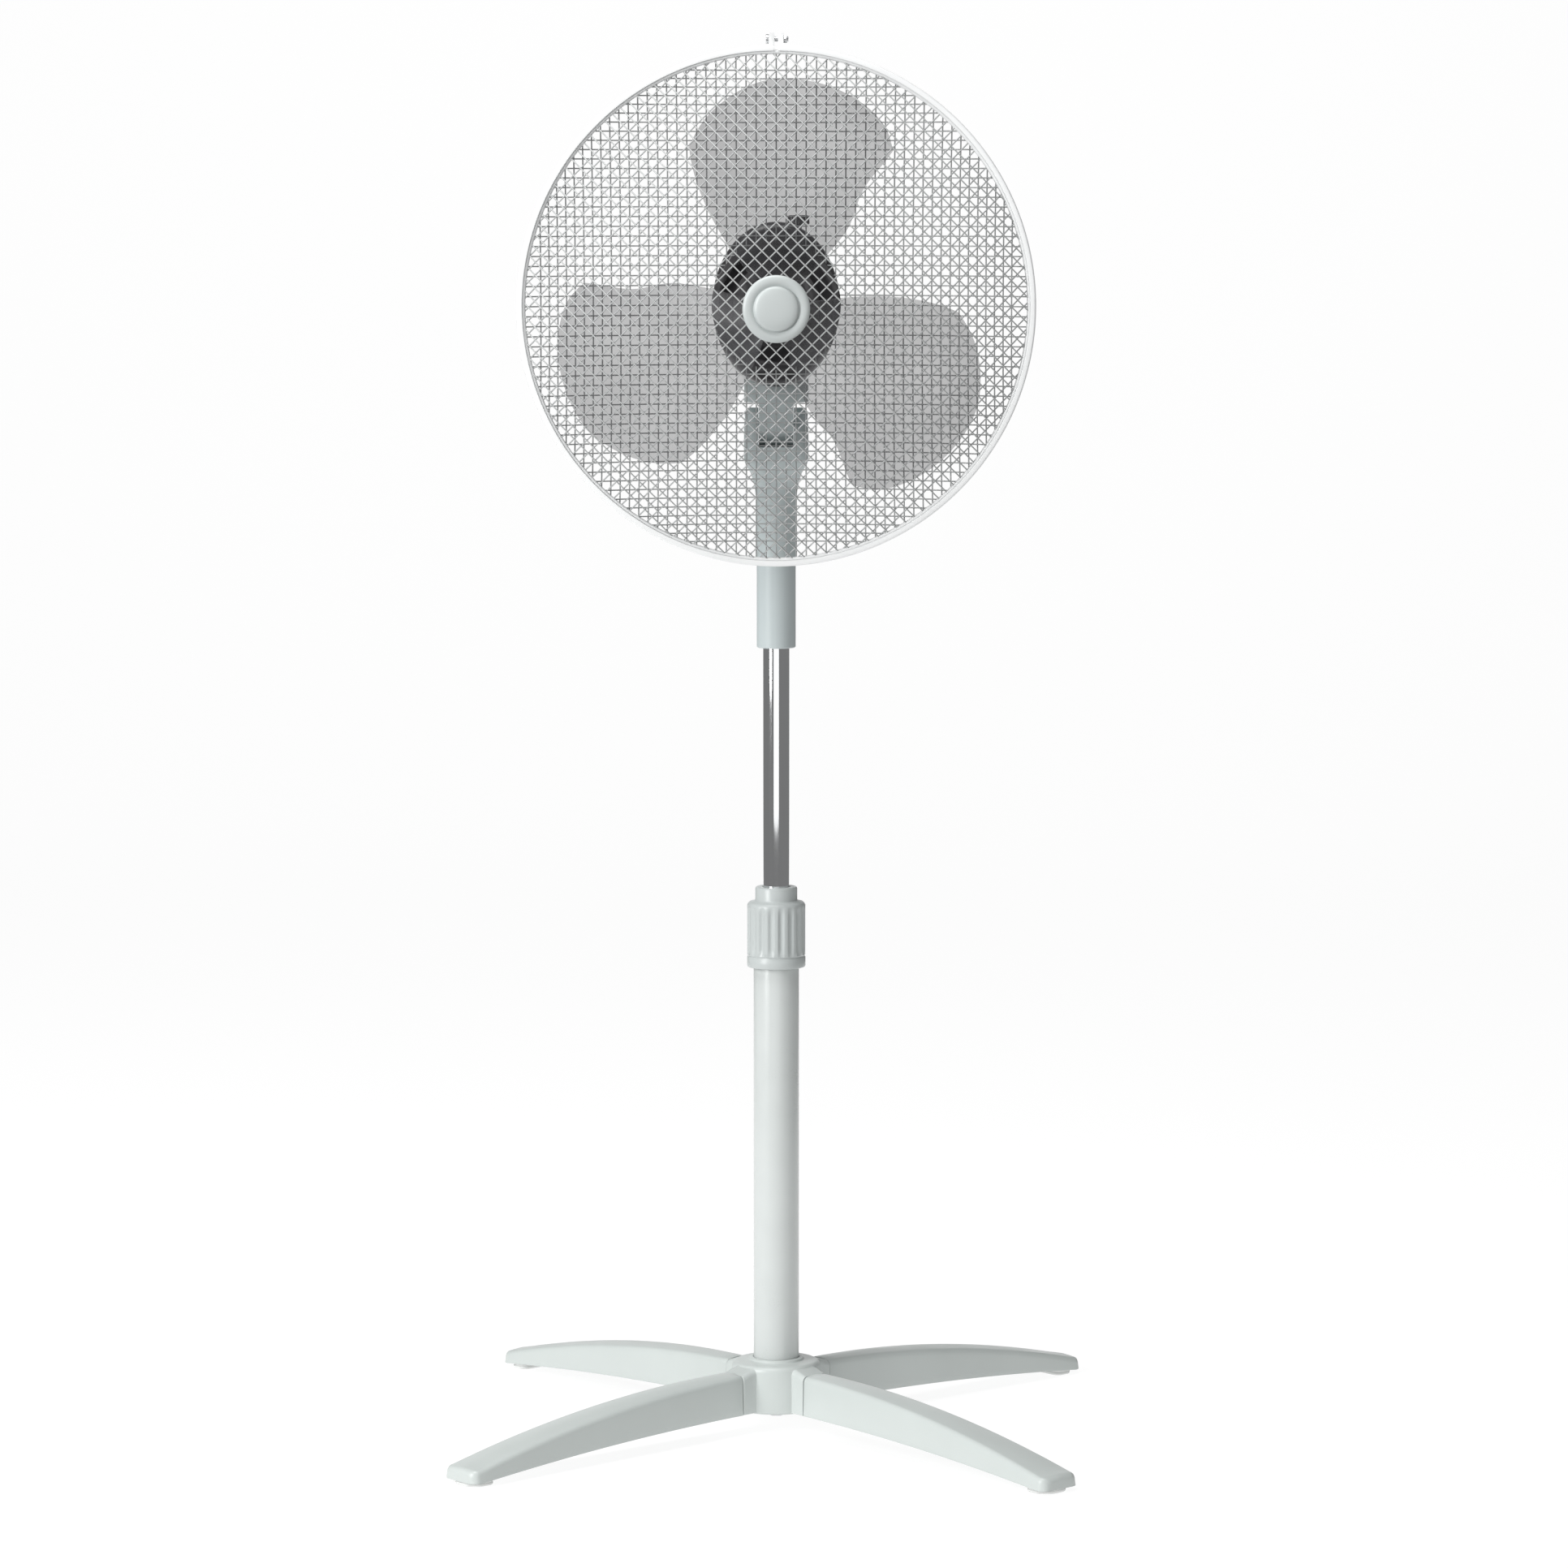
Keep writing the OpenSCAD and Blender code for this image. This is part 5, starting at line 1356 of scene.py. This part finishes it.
def build_coils():
    """Two windings, each a bundle of rounded turns round the stator's ends."""
    low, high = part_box("stator_coils")
    outer = (high.x - low.x) / 2
    inner = outer - 11 * MM
    start, end = forward("stator_coils")
    deep = 9.5 * MM
    pieces = []
    slots, segments = 24, 240
    for back in (start, end - deep):
        rings = []
        for k in range(segments):
            a = TAU * k / segments
            bulge = 0.9 * MM * abs(math.sin(slots * a / 2))
            outline = rounded([(inner + bulge * 0.5, back), (outer - 0.9 * MM + bulge, back),
                               (outer - 0.9 * MM + bulge, back + deep), (inner + bulge * 0.5, back + deep)], 3 * MM, 4)
            rings.append([(r * math.cos(a), r * math.sin(a), h) for r, h in outline])
        pieces.append(from_bmesh("winding", skin(rings, looped=True), ON_AXIS))
    return hand_over(joined("stator_coils_wound", pieces), "stator_coils", angle=50)


# ---- Stage ----------------------------------------------------------------------------

def build_stage(s):
    scene = bpy.context.scene
    scene.view_settings.view_transform = "Standard"
    data = bpy.data.cameras.new("camera")
    data.lens = 132.8
    data.sensor_width = 36
    camera = bpy.data.objects.new("camera", data)
    camera.location = (-1 * MM, -s.camera_distance, s.camera_height)
    aim = Vector((6.6 * MM, 0, s.aim_height)) - camera.location
    camera.rotation_euler = aim.to_track_quat("-Z", "Y").to_euler()
    scene.collection.objects.link(camera)
    scene.camera = camera

    # a floor that sweeps up into a backdrop
    rows = []
    for x in (-1.7, 1.7):
        row = [(x, -1.2, 0)] + [(x, 4 + 1.5 * math.sin(a), 1.5 - 1.5 * math.cos(a))
                                for a in (math.pi / 2 * k / 12 for k in range(13))] + [(x, 5.5, 2.6)]
        rows.append(row)
    floor = from_bmesh("floor", skin(rows, closed=False, ends=False))
    if floor.data.polygons[0].normal.z < 0:
        floor.data.flip_normals()
    paper = Finish("backdrop")
    soft = paper.noise(0.8, 2)
    paper.set(Base_Color=paper.tint((0.16, 0.16, 0.16), soft, 0.004), Roughness=0.9,
              Emission_Color=(1, 1, 1, 1), Emission_Strength=0.9, Specular_IOR_Level=0.0)
    floor.data.materials.append(paper.material)
    floor.data.shade_smooth()

    world = bpy.data.worlds.new("studio")
    world.use_nodes = True
    world.node_tree.nodes["Background"].inputs["Color"].default_value = (1, 1, 1, 1)
    world.node_tree.nodes["Background"].inputs["Strength"].default_value = s.fill
    scene.world = world
    for name, place, target, wide, high, power in (
            ("key", (-2.6, -2.2, 1.7), (0, 0, 0.6), 1.2, 2.2, s.key_power),
            ("top", (-0.5, -0.7, 3.2), (0, 0, 0.2), 2.0, 1.6, s.key_power * 0.6),
            ("front", (0, -5.3, 1.1), (0, 0, 0.6), 4.4, 2.6, s.key_power * 0.4)):
        lamp = bpy.data.lights.new(name, "AREA")
        lamp.energy = power
        lamp.shape = "RECTANGLE"
        lamp.size = wide
        lamp.size_y = high
        light = bpy.data.objects.new(name, lamp)
        light.location = place
        light.rotation_euler = (Vector(target) - Vector(place)).to_track_quat("-Z", "Y").to_euler()
        scene.collection.objects.link(light)


# ---- Add-on ---------------------------------------------------------------------------

class FanStage(bpy.types.Operator):
    """Sets up the camera, the lights and the floor"""
    bl_idname = "fan.stage"
    bl_label = "Stage and camera"

    def execute(self, context):
        build_stage(context.scene.fan_stage)
        return {"FINISHED"}


class FanFinishes(bpy.types.Operator):
    """Makes the finishes and gives each CAD node its own"""
    bl_idname = "fan.finishes"
    bl_label = "Finishes"

    def execute(self, context):
        FINISHES.update(make_finishes(context.scene.fan_finish))
        for node, piece in frame["nodes"].items():
            piece.data.materials.clear()
            piece.data.materials.append(FINISHES[SLOTS[node]])
        return {"FINISHED"}


class FanLegs(bpy.types.Operator):
    """Builds the four arched legs"""
    bl_idname = "fan.legs"
    bl_label = "Legs"

    def execute(self, context):
        for node, turn, foot in leg_feet():
            build_leg(context.scene.fan_base, node, turn, foot)
        return {"FINISHED"}


class FanHub(bpy.types.Operator):
    """Builds the base hub and its lugs"""
    bl_idname = "fan.hub"
    bl_label = "Base hub"

    def execute(self, context):
        build_hub(context.scene.fan_base)
        return {"FINISHED"}


class FanFeet(bpy.types.Operator):
    """Builds the rubber foot pads"""
    bl_idname = "fan.feet"
    bl_label = "Foot pads"

    def execute(self, context):
        build_feet()
        return {"FINISHED"}


class FanTubes(bpy.types.Operator):
    """Builds the painted lower tube and the chromed inner tube"""
    bl_idname = "fan.tubes"
    bl_label = "Tubes"

    def execute(self, context):
        wall = context.scene.fan_column.tube_wall
        build_tube("lower_tube", wall, 0.3 * MM)
        build_tube("inner_tube", wall, 0.4 * MM)
        return {"FINISHED"}


class FanCollar(bpy.types.Operator):
    """Builds the fluted height collar"""
    bl_idname = "fan.collar"
    bl_label = "Height collar"

    def execute(self, context):
        build_collar(context.scene.fan_column)
        return {"FINISHED"}


class FanNeckHousing(bpy.types.Operator):
    """Builds the two halves of the neck housing"""
    bl_idname = "fan.neck_housing"
    bl_label = "Neck housing"

    def execute(self, context):
        build_neck_housing()
        return {"FINISHED"}


class FanControls(bpy.types.Operator):
    """Builds the speed keys, the mast knob and the swing knob"""
    bl_idname = "fan.controls"
    bl_label = "Keys and knobs"

    def execute(self, context):
        build_keys()
        build_mast_knob()
        build_osc_knob()
        return {"FINISHED"}


class FanMotor(bpy.types.Operator):
    """Builds the motor's two shells and its windings"""
    bl_idname = "fan.motor"
    bl_label = "Motor"

    def execute(self, context):
        build_motor_shells()
        build_coils()
        return {"FINISHED"}


class FanBlades(bpy.types.Operator):
    """Builds the blades with their hub, and the spinner that holds them"""
    bl_idname = "fan.blades"
    bl_label = "Blades"

    def execute(self, context):
        build_blades(context.scene.fan_blade)
        build_spinner()
        return {"FINISHED"}


class FanGuardMesh(bpy.types.Operator):
    """Builds the wire mesh of both halves of the guard"""
    bl_idname = "fan.guard_mesh"
    bl_label = "Guard mesh"

    def execute(self, context):
        build_guard_mesh(context.scene.fan_guard)
        return {"FINISHED"}


class FanGuardFrame(bpy.types.Operator):
    """Builds the guard's rim wires and the hoop that clamps them"""
    bl_idname = "fan.guard_frame"
    bl_label = "Guard frame"

    def execute(self, context):
        build_guard_rims(context.scene.fan_guard)
        build_hoop(context.scene.fan_guard)
        return {"FINISHED"}


class FanBadge(bpy.types.Operator):
    """Builds the blank badge in the middle of the guard"""
    bl_idname = "fan.badge"
    bl_label = "Badge"

    def execute(self, context):
        build_badge(context.scene.fan_guard)
        return {"FINISHED"}


class FanFasteners(bpy.types.Operator):
    """Builds the screws"""
    bl_idname = "fan.fasteners"
    bl_label = "Screws"

    def execute(self, context):
        build_fasteners()
        return {"FINISHED"}


class FanWorks(bpy.types.Operator):
    """Breaks the edges of the remaining parts, inside and out"""
    bl_idname = "fan.works"
    bl_label = "Shafts, gears and brackets"

    def execute(self, context):
        for node, width in EASED.items():
            eased_node(node, width * MM)
        return {"FINISHED"}


OPERATORS = (FanStage, FanFinishes, FanLegs, FanHub, FanFeet, FanTubes, FanCollar, FanNeckHousing, FanControls,
             FanMotor, FanBlades, FanGuardMesh, FanGuardFrame, FanBadge, FanFasteners, FanWorks)


class FanPanel(bpy.types.Panel):
    """Lists the fan's sizes, colours and build steps"""
    bl_idname = "VIEW3D_PT_fan"
    bl_label = "Pedestal Fan"
    bl_space_type = "VIEW_3D"
    bl_region_type = "UI"
    bl_category = "Fan"

    def draw(self, context):
        for name, group in SETTINGS.items():
            box = self.layout.box()
            settings = getattr(context.scene, name)
            for field in group.__annotations__:
                box.prop(settings, field)
        for operator in OPERATORS:
            self.layout.operator(operator.bl_idname)


def register():
    for cls in (*SETTINGS.values(), *OPERATORS, FanPanel):
        bpy.utils.register_class(cls)
    for name, group in SETTINGS.items():
        setattr(bpy.types.Scene, name, bpy.props.PointerProperty(type=group))


def unregister():
    for name in SETTINGS:
        delattr(bpy.types.Scene, name)
    for cls in reversed((*SETTINGS.values(), *OPERATORS, FanPanel)):
        bpy.utils.unregister_class(cls)


def main():
    register()
    for operator in OPERATORS:
        group, step = operator.bl_idname.split(".")
        getattr(getattr(bpy.ops, group), step)()
    bpy.context.view_layer.update()


if __name__ == "__main__":
    main()
